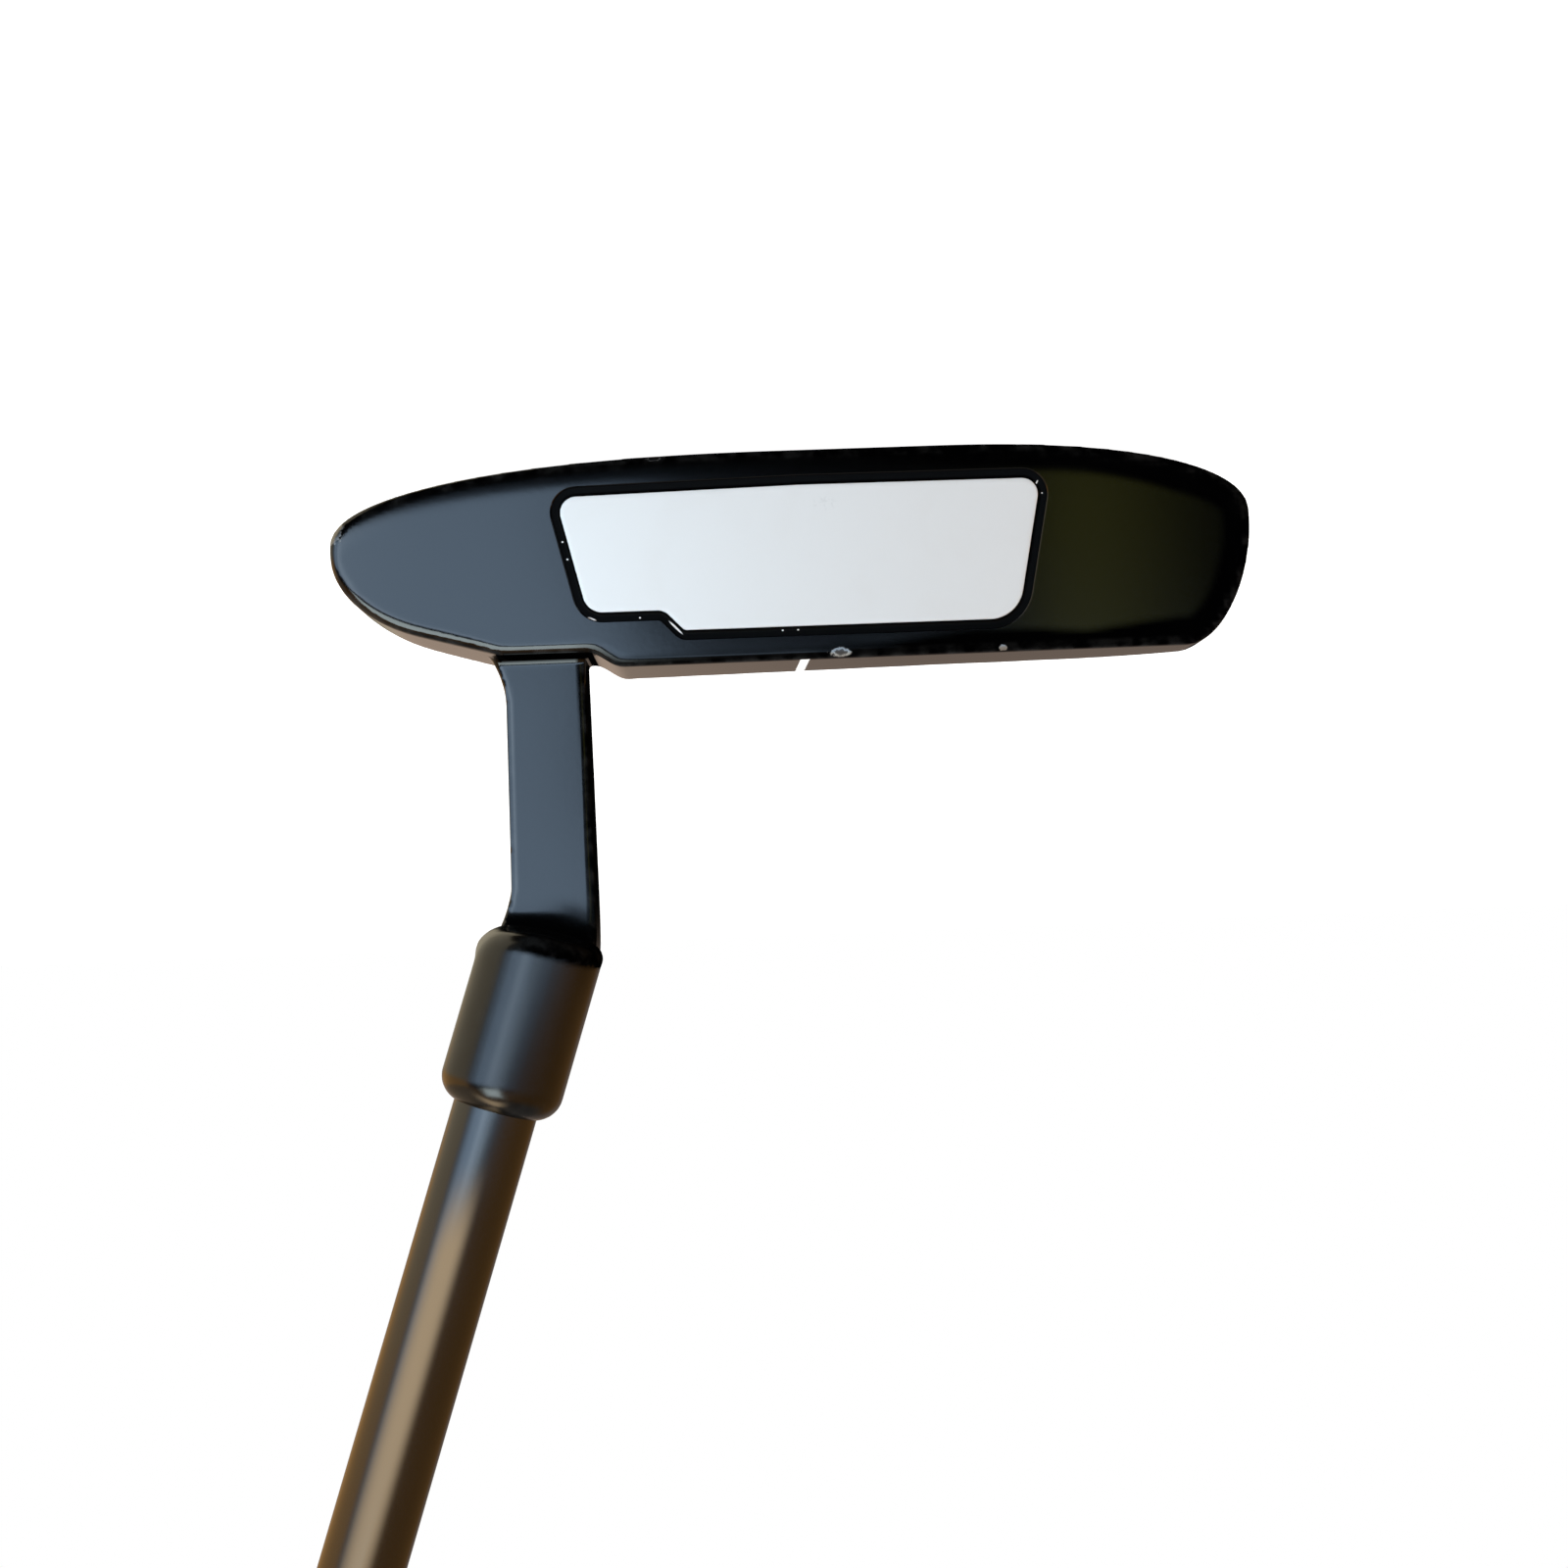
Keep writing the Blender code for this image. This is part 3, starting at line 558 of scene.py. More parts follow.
@dataclass(frozen=True)
class Urethane(Finish):
    """White face plate, smooth, with faint smears where balls have met it."""

    colour: Colour = (0.78, 0.81, 0.84)
    smeared: Colour = (0.765, 0.79, 0.815)
    scuffed: Colour = (0.72, 0.75, 0.78)
    smear_scale: float = 0.11
    smear_from: Point2 = (0.45, 0.8)
    smear_roughness: float = 0.14
    scuff: Point2 = (-2.9, 6.6)
    scuff_shrink: Point3 = (0.55, 0.0, 0.9)
    scuff_edge: Point2 = (1.0, 0.3)
    scratch_scale: float = 1.6
    scratch_from: Point2 = (0.48, 0.62)
    roughness: float = 0.42
    shine: float = 0.15
    skin_scale: float = 3.2
    skin_depth: float = 0.002

    def dress(self, graph: Graph) -> dict[str, Any]:
        """Builds the finish's nodes.

        Args:
            graph: The material's tree.

        Returns:
            What feeds the shader, by input.
        """
        place = graph.millimetres()
        smear = graph.step(graph.noise(place, self.smear_scale, 5.0, 0.6), *self.smear_from)
        offset = graph.vector("SUBTRACT", place, (self.scuff[0], 0.0, self.scuff[1]))
        offset = graph.vector("MULTIPLY", offset, self.scuff_shrink)
        scratch = graph.step(graph.noise(place, self.scratch_scale, 3.0, 0.8), *self.scratch_from)
        scuff = graph.product(scratch, graph.step(graph.vector("LENGTH", offset), *self.scuff_edge))
        colour = graph.mix(smear, self.colour, self.smeared)
        return {
            "Base Color": graph.mix(scuff, colour, self.scuffed),
            "Specular IOR Level": self.shine,
            "Roughness": graph.math("MULTIPLY_ADD", smear, self.smear_roughness, self.roughness),
            "Normal": graph.bump(graph.noise(place, self.skin_scale), self.skin_depth),
        }


@dataclass(frozen=True)
class GlintAndFleck:
    """A white spot in the bead that paints a glint of light, some small specks partly white flecks: its
    middle and half-sizes on the face, in millimetres, and its turn.
    """

    middle: Point2
    half: Point2 = (0.13, 0.1)
    turn: float = 0.0
    edge: Point2 = (1.15, 0.7)

    def mask(self, graph: Graph, flat: Any) -> bpy.types.NodeSocket:
        """Masks the white spot.

        Args:
            graph: The material's tree.
            flat: Coordinates in the front view, in millimetres.

        Returns:
            The share of white.
        """
        offset = graph.vector("SUBTRACT", flat, (*self.middle, 0.0))
        turn = {"Vector": offset, "Angle": -self.turn}
        offset = graph.node("ShaderNodeVectorRotate", turn, rotation_type="Z_AXIS").outputs[0]
        offset = graph.vector("DIVIDE", offset, (*self.half, 1.0))
        return graph.step(graph.vector("LENGTH", offset), *self.edge)


@dataclass(frozen=True)
class Resin(Finish):
    """Black filler, dull in its groove, with painted highlights: white streaks and spots that stand for
    glints of light, some small specks partly white flecks.
    """

    colour: Colour = (0.0008, 0.0008, 0.0009)
    rippled: Colour = (0.0016, 0.0016, 0.0018)
    # White of the painted glints and of the flecks
    white: Colour = (0.8, 0.82, 0.84)
    roughness: float = 0.35
    ripple_roughness: float = 0.1
    ripple_scale: float = 0.8
    ripple_depth: float = 0.012
    shine: float = 0.06
    glints_and_flecks: tuple[GlintAndFleck, ...] = ()

    def dress(self, graph: Graph) -> dict[str, Any]:
        """Builds the finish's nodes.

        Args:
            graph: The material's tree.

        Returns:
            What feeds the shader, by input.
        """
        place = graph.millimetres()
        ripple = graph.noise(place, self.ripple_scale)
        colour = graph.mix(ripple, self.colour, self.rippled)
        # Painted highlights: white streaks and spots stand for glints of light on the bead; some small specks
        # are partly white flecks
        if self.glints_and_flecks:
            across = graph.parts(place)
            flat = graph.node("ShaderNodeCombineXYZ", {"X": across["X"], "Y": across["Z"]}).outputs[0]
            white = graph.largest(spot.mask(graph, flat) for spot in self.glints_and_flecks)
            colour = graph.mix(white, colour, self.white)
        return {
            "Base Color": colour,
            "Roughness": graph.math("MULTIPLY_ADD", ripple, self.ripple_roughness, self.roughness),
            "Specular IOR Level": self.shine,
            "Normal": graph.bump(ripple, self.ripple_depth),
        }


@dataclass(frozen=True)
class MarkPaint(Finish):
    """White paint filled into a groove, a little uneven."""

    colour: Colour = (0.93, 0.93, 0.92)
    thin: Colour = (0.8, 0.8, 0.79)
    cover_scale: float = 1.1
    cover_from: Point2 = (0.35, 0.75)
    roughness: float = 0.6
    cover_roughness: float = -0.2
    relief: float = 0.02

    def dress(self, graph: Graph) -> dict[str, Any]:
        """Builds the finish's nodes.

        Args:
            graph: The material's tree.

        Returns:
            What feeds the shader, by input.
        """
        cover = graph.step(graph.noise(graph.millimetres(), self.cover_scale, 4.0), *self.cover_from)
        return {
            "Base Color": graph.mix(cover, self.thin, self.colour),
            "Roughness": graph.math("MULTIPLY_ADD", cover, self.cover_roughness, self.roughness),
            "Normal": graph.bump(cover, self.relief),
        }


@dataclass(frozen=True)
class Rubber(Finish):
    """Black moulded rubber with a fine matt skin, greyed where hands have polished it."""

    colour: Colour = (0.011, 0.011, 0.012)
    dusty: Colour = (0.03, 0.029, 0.028)
    roughness: float = 0.62
    dust_scale: float = 0.05
    dust_from: Point2 = (0.4, 0.75)
    dust_roughness: float = 0.2
    skin_scale: float = 2.2
    skin_depth: float = 0.03

    def dress(self, graph: Graph) -> dict[str, Any]:
        """Builds the finish's nodes.

        Args:
            graph: The material's tree.

        Returns:
            What feeds the shader, by input.
        """
        place = graph.millimetres()
        dust = graph.step(graph.noise(place, self.dust_scale, 5.0), *self.dust_from)
        return {
            "Base Color": graph.mix(dust, self.colour, self.dusty),
            "Roughness": graph.math("MULTIPLY_ADD", dust, self.dust_roughness, self.roughness),
            "Normal": graph.bump(graph.noise(place, self.skin_scale, 4.0), self.skin_depth),
        }


@dataclass(frozen=True)
class Mottled(Finish):
    """A plain two-tone finish for the pieces inside the club."""

    light: Colour = (0.5, 0.5, 0.5)
    dark: Colour = (0.3, 0.3, 0.3)
    scale: float = 0.5
    roughness: float = 0.7
    relief: float = 0.05
    light_from: Point2 = (0.35, 0.65)
    light_roughness: float = -0.12

    def dress(self, graph: Graph) -> dict[str, Any]:
        """Builds the finish's nodes.

        Args:
            graph: The material's tree.

        Returns:
            What feeds the shader, by input.
        """
        grain = graph.noise(graph.millimetres(), self.scale, 5.0, 0.4)
        share = graph.step(grain, *self.light_from)
        return {
            "Base Color": graph.mix(share, self.dark, self.light),
            "Roughness": graph.math("MULTIPLY_ADD", share, self.light_roughness, self.roughness),
            "Normal": graph.bump(grain, self.relief),
        }


HEAD_PAINT = SatinPaint(
    "satin_head_paint",
    rubbed_and_shaded=True,
    dull=0.12,
    chips=(
        Chip((54.4, -6.4, 7.7), (1.5, 1.9, 1.8)),
        Chip((-4.2, -6.4, 24.0), (1.25, 0.9, 0.55), ring=0.8),
        Chip((-23.1, -6.4, 24.2), (0.5, 0.6, 0.35)),
        Chip((16.8, -7.6, 0.6), (0.9, 0.8, 0.35)),
    ),
)
SHAFT_PAINT = SatinPaint("satin_shaft_paint", roughness=0.2, spread=0.05, index=1.95)
INSERT_URETHANE = Urethane("white_urethane")
# Painted highlights: the two long streaks and the two spots at the toe corner are glints of light on the
# bead's slopes; the small specks are partly white flecks and partly painted glints
BEAD_RESIN = Resin(
    "black_resin",
    glints_and_flecks=(
        GlintAndFleck((14.95, 20.43), (1.1, 0.12), math.radians(-46.0)),
        GlintAndFleck((24.66, 19.1), (0.55, 0.13), math.radians(-22.0)),
        GlintAndFleck((27.75, 10.0)),
        GlintAndFleck((27.26, 12.06)),
        GlintAndFleck((19.08, 19.15)),
        GlintAndFleck((2.5, 21.2), (0.12, 0.09)),
        GlintAndFleck((0.7, 21.2), (0.12, 0.09)),
        GlintAndFleck((-27.95, 4.9), (0.26, 0.09), math.radians(60.0)),
        GlintAndFleck((-28.5, 6.2), (0.1, 0.08)),
    ),
)
MARK_PAINT = MarkPaint("white_mark_paint")
GRIP_RUBBER = Rubber("grip_rubber")
CAP_RUBBER = Rubber("cap_rubber", roughness=0.5)
INNER_FINISHES: dict[str, Finish] = {
    "insert_tape": Mottled("foam_tape", (0.34, 0.34, 0.35), (0.22, 0.22, 0.23), 1.2, 0.85),
    "shaft_epoxy": Mottled("cured_epoxy", (0.55, 0.46, 0.22), (0.4, 0.32, 0.14), 0.4, 0.35, 0.02),
    "tip_plug": Mottled("pressed_cork", (0.5, 0.34, 0.2), (0.24, 0.14, 0.07), 0.8, 0.9, 0.2),
    "grip_tape": Mottled("paper_tape", (0.66, 0.6, 0.46), (0.55, 0.49, 0.36), 0.3, 0.9),
}


# The club


@dataclass(frozen=True)
class Stance:
    """How the club stands: what its head, shaft and grip share."""

    lie: float = math.radians(72.0)
    loft: float = math.radians(3.5)
    setback: float = 8.0
    axis_foot: float = 12.4
    axis_lead: float = 5.0
    barrel_start: float = 59.4
    barrel_length: float = 19.1

    @property
    def lean(self) -> Point2:
        """The shaft's direction, along X and Z."""
        return math.cos(self.lie), math.sin(self.lie)

    def on_face(self, x: np.ndarray, z: np.ndarray, depth: float | np.ndarray) -> np.ndarray:
        """Places points of the front view behind the lofted face.

        Args:
            x: Across the face.
            z: Up the face.
            depth: Behind the face, along Y.

        Returns:
            The points, in the club's frame.
        """
        return np.stack([x, z * math.tan(self.loft) + depth - self.setback, z], 1)

    def on_shaft(self, points: np.ndarray) -> np.ndarray:
        """Moves points from the shaft's own frame to the club's.

        Args:
            points: Points in the shaft's frame, whose Z axis runs up the shaft.

        Returns:
            The points, in the club's frame.
        """
        across, up = self.lean[1], self.lean[0]
        x, y, z = points.T
        return np.stack([
            self.axis_foot + x * across + z * up,
            y - self.axis_lead - self.setback,
            z * across - x * up,
        ], 1)

    def from_barrel(self, x: np.ndarray, z: np.ndarray) -> tuple[np.ndarray, np.ndarray]:
        """Measures places of the front view from the barrel's foot.

        Args:
            x: Places towards the heel.
            z: Heights.

        Returns:
            How far they lie up the barrel, and how far to the heel side of its axis.
        """
        from_foot = x - self.axis_foot
        along = from_foot * self.lean[0] + z * self.lean[1] - self.barrel_start
        return along, from_foot * self.lean[1] - z * self.lean[0]


STANCE = Stance()


@dataclass(frozen=True)
class InsertShape:
    """Outline of the face insert in the front view, which its pocket and bead follow."""

    half_foot: float = 28.4
    half_head: float = 25.15
    foot_toe: float = 4.4
    foot_heel: float = 4.85
    foot_middle: float = 4.3
    top: float = 20.8
    step: float = 18.4
    step_x: float = 15.1
    step_run: float = 2.3
    corner: float = 1.9
    heel_corner: float = 2.3
    toe_corner: float = 4.0
    step_corner: float = 0.8
    thickness: float = 4.2
    bead_width: float = 1.1

    def outline(self, grow: float) -> np.ndarray:
        """Gives the outline in the front view.

        Args:
            grow: How far it is grown.

        Returns:
            Points (x, z).
        """
        run = self.step_run / 2
        corners = [
            (-self.half_foot, self.foot_toe, self.corner),
            (0.0, self.foot_middle, self.half_foot),
            (self.half_foot, self.foot_heel, self.corner),
            (self.half_head, self.step, self.heel_corner),
            (self.step_x + run, self.step, self.step_corner + self.bead_width),
            (self.step_x - run, self.top, self.step_corner),
            (-self.half_head, self.top, self.toe_corner),
        ]
        return np.array(rounded_polygon(corners, grow))

    def ring(self, grow: float, depth: float) -> np.ndarray:
        """Gives the outline, grown, at a depth behind the face, as points in the club's frame."""
        x, z = self.outline(grow).T
        return STANCE.on_face(x, z, depth)


@dataclass(frozen=True)
class ShadeZones:
    """Where shade is painted on the head by taking the paint's shine off: on the face's border, on the shelf
    and at the barrel's seat.

    border_depths is how far back the border reaches, low and high on the face. Other pairs and fours are
    places between which a zone comes up or fades away, in millimetres, or for seat_rim in shares of the
    barrel's radius.
    """

    border_places: tuple[float, ...] = (-44.0, -39.0, -33.0, -27.0, -20.0, -10.0, 0.0, 20.0)
    border_widths: tuple[float, ...] = (3.3, 2.8, 2.1, 2.6, 2.8, 1.6, 1.1, 0.9)
    border_blur: float = 0.5
    border_heel: Point2 = (22.0, 27.0)
    border_depths: Point2 = (1.4, 0.75)
    depth_blur: float = 0.35
    toe_foot_width: float = 0.6
    toe_foot_heights: Point2 = (6.0, 12.0)
    toe_foot_places: Point2 = (-33.0, -20.0)
    shelf_toe: Point2 = (1.6, 1.0)
    shelf_heel: Point2 = (0.6, 1.2)
    shelf_heights: tuple[float, ...] = (-0.6, -0.3, 0.15, 0.35)
    shelf_depths: Point2 = (0.22, 0.42)
    seat_along: tuple[float, ...] = (-2.5, -1.7, 1.0, 1.6)
    seat_aside: Point2 = (1.0, 3.0)
    seat_depths: Point2 = (-3.0, -1.0)
    seat_rim: Point2 = (0.65, 0.75)


@dataclass
class PutterHead:
    """The cast head: blade, flange, neck and barrel in one piece."""

    insert: InsertShape
    shade_zones: ShadeZones = ShadeZones()
    voxel: float = 0.4
    band: float = 2.0
    grid_margin: float = 1.6
    grid_top: float = 78.0
    blade_room: float = 8.0
    neck_room: Point2 = (-12.0, 18.0)
    cutter_room: float = 4.0
    sharp_angle: float = 40.0
    height: float = 24.75
    toe_droop: float = 0.18
    toe: float = 53.0
    heel: float = 54.85
    toe_tip: float = 9.3
    heel_tip: float = 9.8
    toe_corner: float = 8.0
    toe_fullness: float = 1.87
    sole_fullness: float = 2.3
    shelf: float = 22.88
    shelf_ramp: float = 4.0
    shelf_margin: float = 0.1
    heel_fullness: float = 2.5
    heel_shoulder: float = 44.0
    heel_slope: float = 0.27
    land_toe: float = 16.0
    land_heel: float = 2.0
    land_depth: float = 16.0
    edge_radius: float = 0.9
    rail_edge: float = 0.4
    crisp_run: float = 4.0
    bevel: float = 0.35
    shelf_bevel: float = 0.14
    bevel_run: float = 1.3
    bevel_end: float = 20.0
    bevel_ramp: float = 3.0
    heel_bevel: Point2 = (34.0, 38.0)
    sole_roll: float = 0.2
    sole_roll_run: float = 4.0
    depth: float = 26.5
    side_margin: float = 0.5
    shoulder: float = 2.0
    back_run: float = 37.0
    back_fullness: float = 2.2
    side_ease_run: float = 8.0
    rail_heel: float = 14.6
    rail_toe: float = 11.0
    rail_heel_run: float = 20.0
    rail_toe_run: float = 24.0
    rail_heel_fullness: float = 2.2
    rail_toe_fullness: float = 2.0
    deck_front: float = 17.0
    deck_back: float = 12.0
    cavity_half: float = 20.5
    cavity_corner: float = 4.0
    flange: float = 6.5
    sole_lift: float = 2.4
    neck_width: float = 10.1
    neck_front: float = 6.0
    neck_back: float = 16.5
    neck_sidestep: float = 0.3
    neck_inner_bend: float = 4.8
    neck_outer_bend: float = 9.5
    neck_bend_steps: int = 24
    neck_edge: float = 0.45
    neck_back_edge: float = 3.8
    neck_edge_run: float = 2.0
    lean_start: float = 2.0
    neck_heel_margin: float = -0.02
    neck_toe_margin: float = -0.1
    neck_toe_taper: float = 0.45
    neck_root: float = 13.3
    leg_rise: float = 1.6
    leg_height: float = 9.5
    leg_seat: float = 3.8
    root_flare: float = 1.5
    root_rise: float = 5.5
    bend_tilt: float = 0.16
    toe_delay: float = 2.0
    bend_flare: float = 1.4
    bend_drop: float = 6.5
    bend_rise: float = 4.8
    bend_swell: float = 1.35
    seat_span: Point2 = (-2.5, 5.5)
    barrel_radius: float = 6.85
    barrel_lip: float = 3.0
    barrel_foot: float = 2.0
    barrel_heel_foot: float = 3.2
    barrel_toe_foot: float = 1.4
    barrel_overlap: float = 0.9
    bore_radius: float = 5.4
    bore_floor: float = 2.8
    bore_facets: int = 96
    bore_room: float = 6.0
    mouth_radius: float = 4.85
    mouth_depth: float = 1.0
    mouth_ramp: float = 0.5
    mouth_chamfer: float = 0.3
    mark_width: float = 1.14
    mark_depth: float = 0.5
    pocket_rim: float = 0.1
    pocket_room: float = 0.8
    fillets: dict[str, float] = field(default_factory=lambda: {
        "front": 0.02, "plan": 2.2, "rail": 3.0, "cavity": 2.4, "deck": 1.2, "rear": 0.4,
        "leg": 7.0, "seat": 1.5, "root": 0.4,
    })

    @property
    def crisp_span(self) -> Point2:
        """Heights between which the face's edge goes from soft to crisp."""
        return self.heel_tip, self.heel_tip + self.crisp_run

    @property
    def barrel_foot_z(self) -> float:
        """Height of the middle of the barrel's foot."""
        return STANCE.barrel_start * STANCE.lean[1]

    @property
    def neck_x(self) -> float:
        """Middle of the neck's width."""
        return STANCE.axis_foot + STANCE.barrel_start * STANCE.lean[0] - self.neck_sidestep

    def face_outline(self) -> list[Point2]:
        """Traces the head in the front view.

        Returns:
            The outline, anticlockwise from the toe end of the top rail.
        """
        shelf_toe = self.neck_x - self.neck_width / 2 - self.shelf_margin
        shelf_heel = self.neck_x + self.neck_width / 2 + self.shelf_margin
        rise = self.height - self.toe_droop - self.toe_tip
        centre = (self.toe_corner - self.toe, self.toe_tip)
        outline = quarter(centre, -self.toe_corner, rise, self.toe_fullness, backwards=True)
        run = self.land_toe - self.toe
        outline += quarter((-self.land_toe, self.toe_tip), run, -self.toe_tip, self.sole_fullness)[1:]
        run, centre = self.heel - self.land_heel, (self.land_heel, self.heel_tip)
        outline += quarter(centre, run, -self.heel_tip, self.sole_fullness, backwards=True)
        fall = self.heel_slope * (self.heel_shoulder - shelf_heel)
        run, rise = self.heel - self.heel_shoulder, self.shelf - fall - self.heel_tip
        for x, z in quarter((self.heel_shoulder, self.heel_tip), run, rise, self.heel_fullness)[1:]:
            share = (z - self.heel_tip) / rise
            outline.append((x, z - self.heel_slope * (x - self.heel_shoulder) * share))
        outline.append((shelf_heel, self.shelf))
        for share in np.linspace(0.0, 1.0, 16):
            rise = (self.height - self.shelf) * smooth(share)
            outline.append((shelf_toe - self.shelf_ramp * share, self.shelf + rise))
        return outline

    def sole_height(self, x: np.ndarray) -> np.ndarray:
        """Gives the height of the sole's front edge.

        Args:
            x: Places towards the heel.

        Returns:
            One height per place.
        """
        power = self.sole_fullness
        toe = np.clip((-self.land_toe - x) / (self.toe - self.land_toe), 0.0, 1.0)
        heel = np.clip((x - self.land_heel) / (self.heel - self.land_heel), 0.0, 1.0)
        rise = self.toe_tip * (1 - (1 - toe ** power) ** (1 / power))
        return rise + self.heel_tip * (1 - (1 - heel ** power) ** (1 / power))

    def edge_rounding(self, x: np.ndarray, z: np.ndarray) -> np.ndarray:
        """Gives the radius of the face's edge: crisp above, softer along the sole."""
        crisp = np.interp(z, self.crisp_span, (self.edge_radius, self.rail_edge))
        return np.broadcast_to(crisp, (len(x), 1, len(z)))

    def edge_bevel(self, front: np.ndarray, x: np.ndarray, z: np.ndarray) -> np.ndarray:
        """Gives how far the face falls back along the edge of its heel and shelf.

        Args:
            front: Field of the face's outline.
            x: Places towards the heel.
            z: Heights.

        Returns:
            One depth per point of the grid.
        """
        near = np.clip(1 + front / self.bevel_run, 0.0, 1.0) ** 2
        places = (self.bevel_end, self.bevel_end + self.bevel_ramp, *self.heel_bevel)
        along = np.interp(x, places, (0.0, self.shelf_bevel, self.shelf_bevel, self.bevel))[:, None, None]
        return near * along * np.interp(z, self.crisp_span, RISE)

    def plan_outline(self) -> list[Point2]:
        """Traces the head from above.

        Returns:
            The outline, anticlockwise and open in front of the face.
        """
        toe, heel = self.toe + self.side_margin, self.heel + self.side_margin
        run, rise, power = self.back_run, self.depth - self.shoulder, self.back_fullness
        outline = [(-toe, -self.depth), (heel, -self.depth)]
        outline += quarter((heel - run, self.shoulder), run, rise, power)
        outline += quarter((run - toe, self.shoulder), -run, rise, power, backwards=True)
        return outline

    def rail_outline(self) -> list[Point2]:
        """Traces the top rail from above.

        Returns:
            The outline, anticlockwise and open in front of the face.
        """
        outline = [(-self.toe, -self.depth), (self.heel, -self.depth)]
        run = self.rail_heel_run
        outline += quarter((self.heel - run, 0.0), run, self.rail_heel, self.rail_heel_fullness)
        run = self.rail_toe_run
        outline += quarter((run - self.toe, 0.0), -run, self.rail_toe, self.rail_toe_fullness, backwards=True)
        return outline

    def neck_outline(self) -> list[Point2]:
        """Traces the neck from the side: a post that bends forward into a leg.

        Returns:
            Points (y, z), in order.
        """
        underside = self.barrel_foot_z + self.leg_rise
        top = underside + self.leg_height
        end = self.barrel_radius - STANCE.axis_lead - self.leg_seat
        inner, outer, steps = self.neck_inner_bend, self.neck_outer_bend, self.neck_bend_steps
        outline = [(self.neck_front, self.neck_root), (self.neck_back, self.neck_root)]
        outline += arc((self.neck_back - outer, top - outer), outer, 0.0, math.pi / 2, steps)
        outline += [(end, top), (end, underside)]
        outline += arc((self.neck_front - inner, underside - inner), inner, math.pi / 2, 0.0, steps)
        return outline

    def blade_field(self, x: np.ndarray, y: np.ndarray, z: np.ndarray) -> np.ndarray:
        """Gives the field of the blade with its flange and cavity.

        Args:
            x: The grid's places towards the heel.
            y: Its places behind the face's foot.
            z: Its heights.

        Returns:
            The field on the grid.
        """
        front = outline_distance(self.face_outline(), x[:, None], z[None, :])[:, None, :]
        plan = outline_distance(self.plan_outline(), x[:, None], y[None, :])[:, :, None]
        rail = outline_distance(self.rail_outline(), x[:, None], y[None, :])[:, :, None]
        up, back = z[None, None, :], y[None, :, None]
        above_sole = z[None, :] - self.sole_height(x)[:, None]
        roll = self.sole_roll * np.clip(1 - above_sole / self.sole_roll_run, 0.0, 1.0) ** 2
        fallen = roll[:, None, :] + self.edge_bevel(front, x, z)
        face = (up * math.tan(STANCE.loft) + fallen - back) * math.cos(STANCE.loft)
        spans = (self.shoulder, self.shoulder + self.side_ease_run)
        easing = np.interp(back, spans, (self.fillets["front"], self.fillets["plan"]))
        blade = soft_meet(round_meet(front, face, self.edge_rounding(x, z)), plan, easing)
        deck = self.deck_front + (self.deck_back - self.deck_front) * back / self.depth
        rear = soft_meet(deck - up, -rail, self.fillets["rail"])
        sides = np.abs(x)[:, None, None] - self.cavity_half - self.cavity_corner * back / (2 * self.depth)
        cavity = soft_meet(sides, self.flange - up, self.fillets["cavity"])
        cavity = soft_meet(cavity, -rail, self.fillets["cavity"])
        blade = soft_meet(blade, -soft_union(rear, cavity, self.fillets["deck"]), self.fillets["rear"])
        past_land = np.clip((back - self.land_depth) / (self.depth - self.land_depth), 0.0, None)
        lift = self.sole_lift * past_land ** 2
        return np.maximum(blade, lift - up)

    def eased(self, rise: np.ndarray) -> np.ndarray:
        """Gives a height above zero, with a soft start."""
        return (rise + np.sqrt(rise * rise + self.lean_start ** 2)) / 2

    def neck_sides(self, x: np.ndarray, z: np.ndarray) -> np.ndarray:
        """Gives the field between the neck's heel and toe sides, which lean over below the barrel.

        Args:
            x: The grid's places towards the heel.
            z: Its heights.

        Returns:
            The field in the front view.
        """
        slope = STANCE.lean
        rise = z - self.barrel_foot_z
        lean = self.eased(rise) * slope[0] / slope[1]
        fade = np.clip(1 - (z - self.shelf) / self.root_rise, 0.0, 1.0)
        near_bend = np.clip((rise + self.bend_drop) / self.bend_rise, 0.0, 1.0)
        flare = self.root_flare * fade * fade + self.bend_flare * near_bend ** self.bend_swell
        heel_edge = self.neck_x + self.neck_width / 2 + self.neck_heel_margin + lean + flare
        below = np.clip((self.barrel_foot_z - z) / (self.barrel_foot_z - self.shelf), 0.0, 1.0)
        late_lean = self.eased(rise - self.toe_delay) * slope[0] / slope[1]
        toe_edge = self.neck_x - self.neck_width / 2 - self.neck_toe_margin + late_lean
        toe_edge = toe_edge + self.neck_toe_taper * below
        return np.maximum(x[:, None] - heel_edge[None, :], toe_edge[None, :] - x[:, None])

    def neck_field(self, x: np.ndarray, y: np.ndarray, z: np.ndarray) -> np.ndarray:
        """Gives the field of the neck.

        Args:
            x: The grid's places towards the heel.
            y: Its places behind the face's foot.
            z: Its heights.

        Returns:
            The field on the grid.
        """
        tilted = z[None, None, :] + self.bend_tilt * (x - self.neck_x)[:, None, None]
        side = outline_distance(self.neck_outline(), y[None, :, None], tilted)
        middle = (self.neck_front + self.neck_back) / 2
        places = (middle - self.neck_edge_run, middle + self.neck_edge_run)
        rounding = np.interp(y, places, (self.neck_edge, self.neck_back_edge))
        return round_meet(side, self.neck_sides(x, z)[:, None, :], rounding[None, :, None])

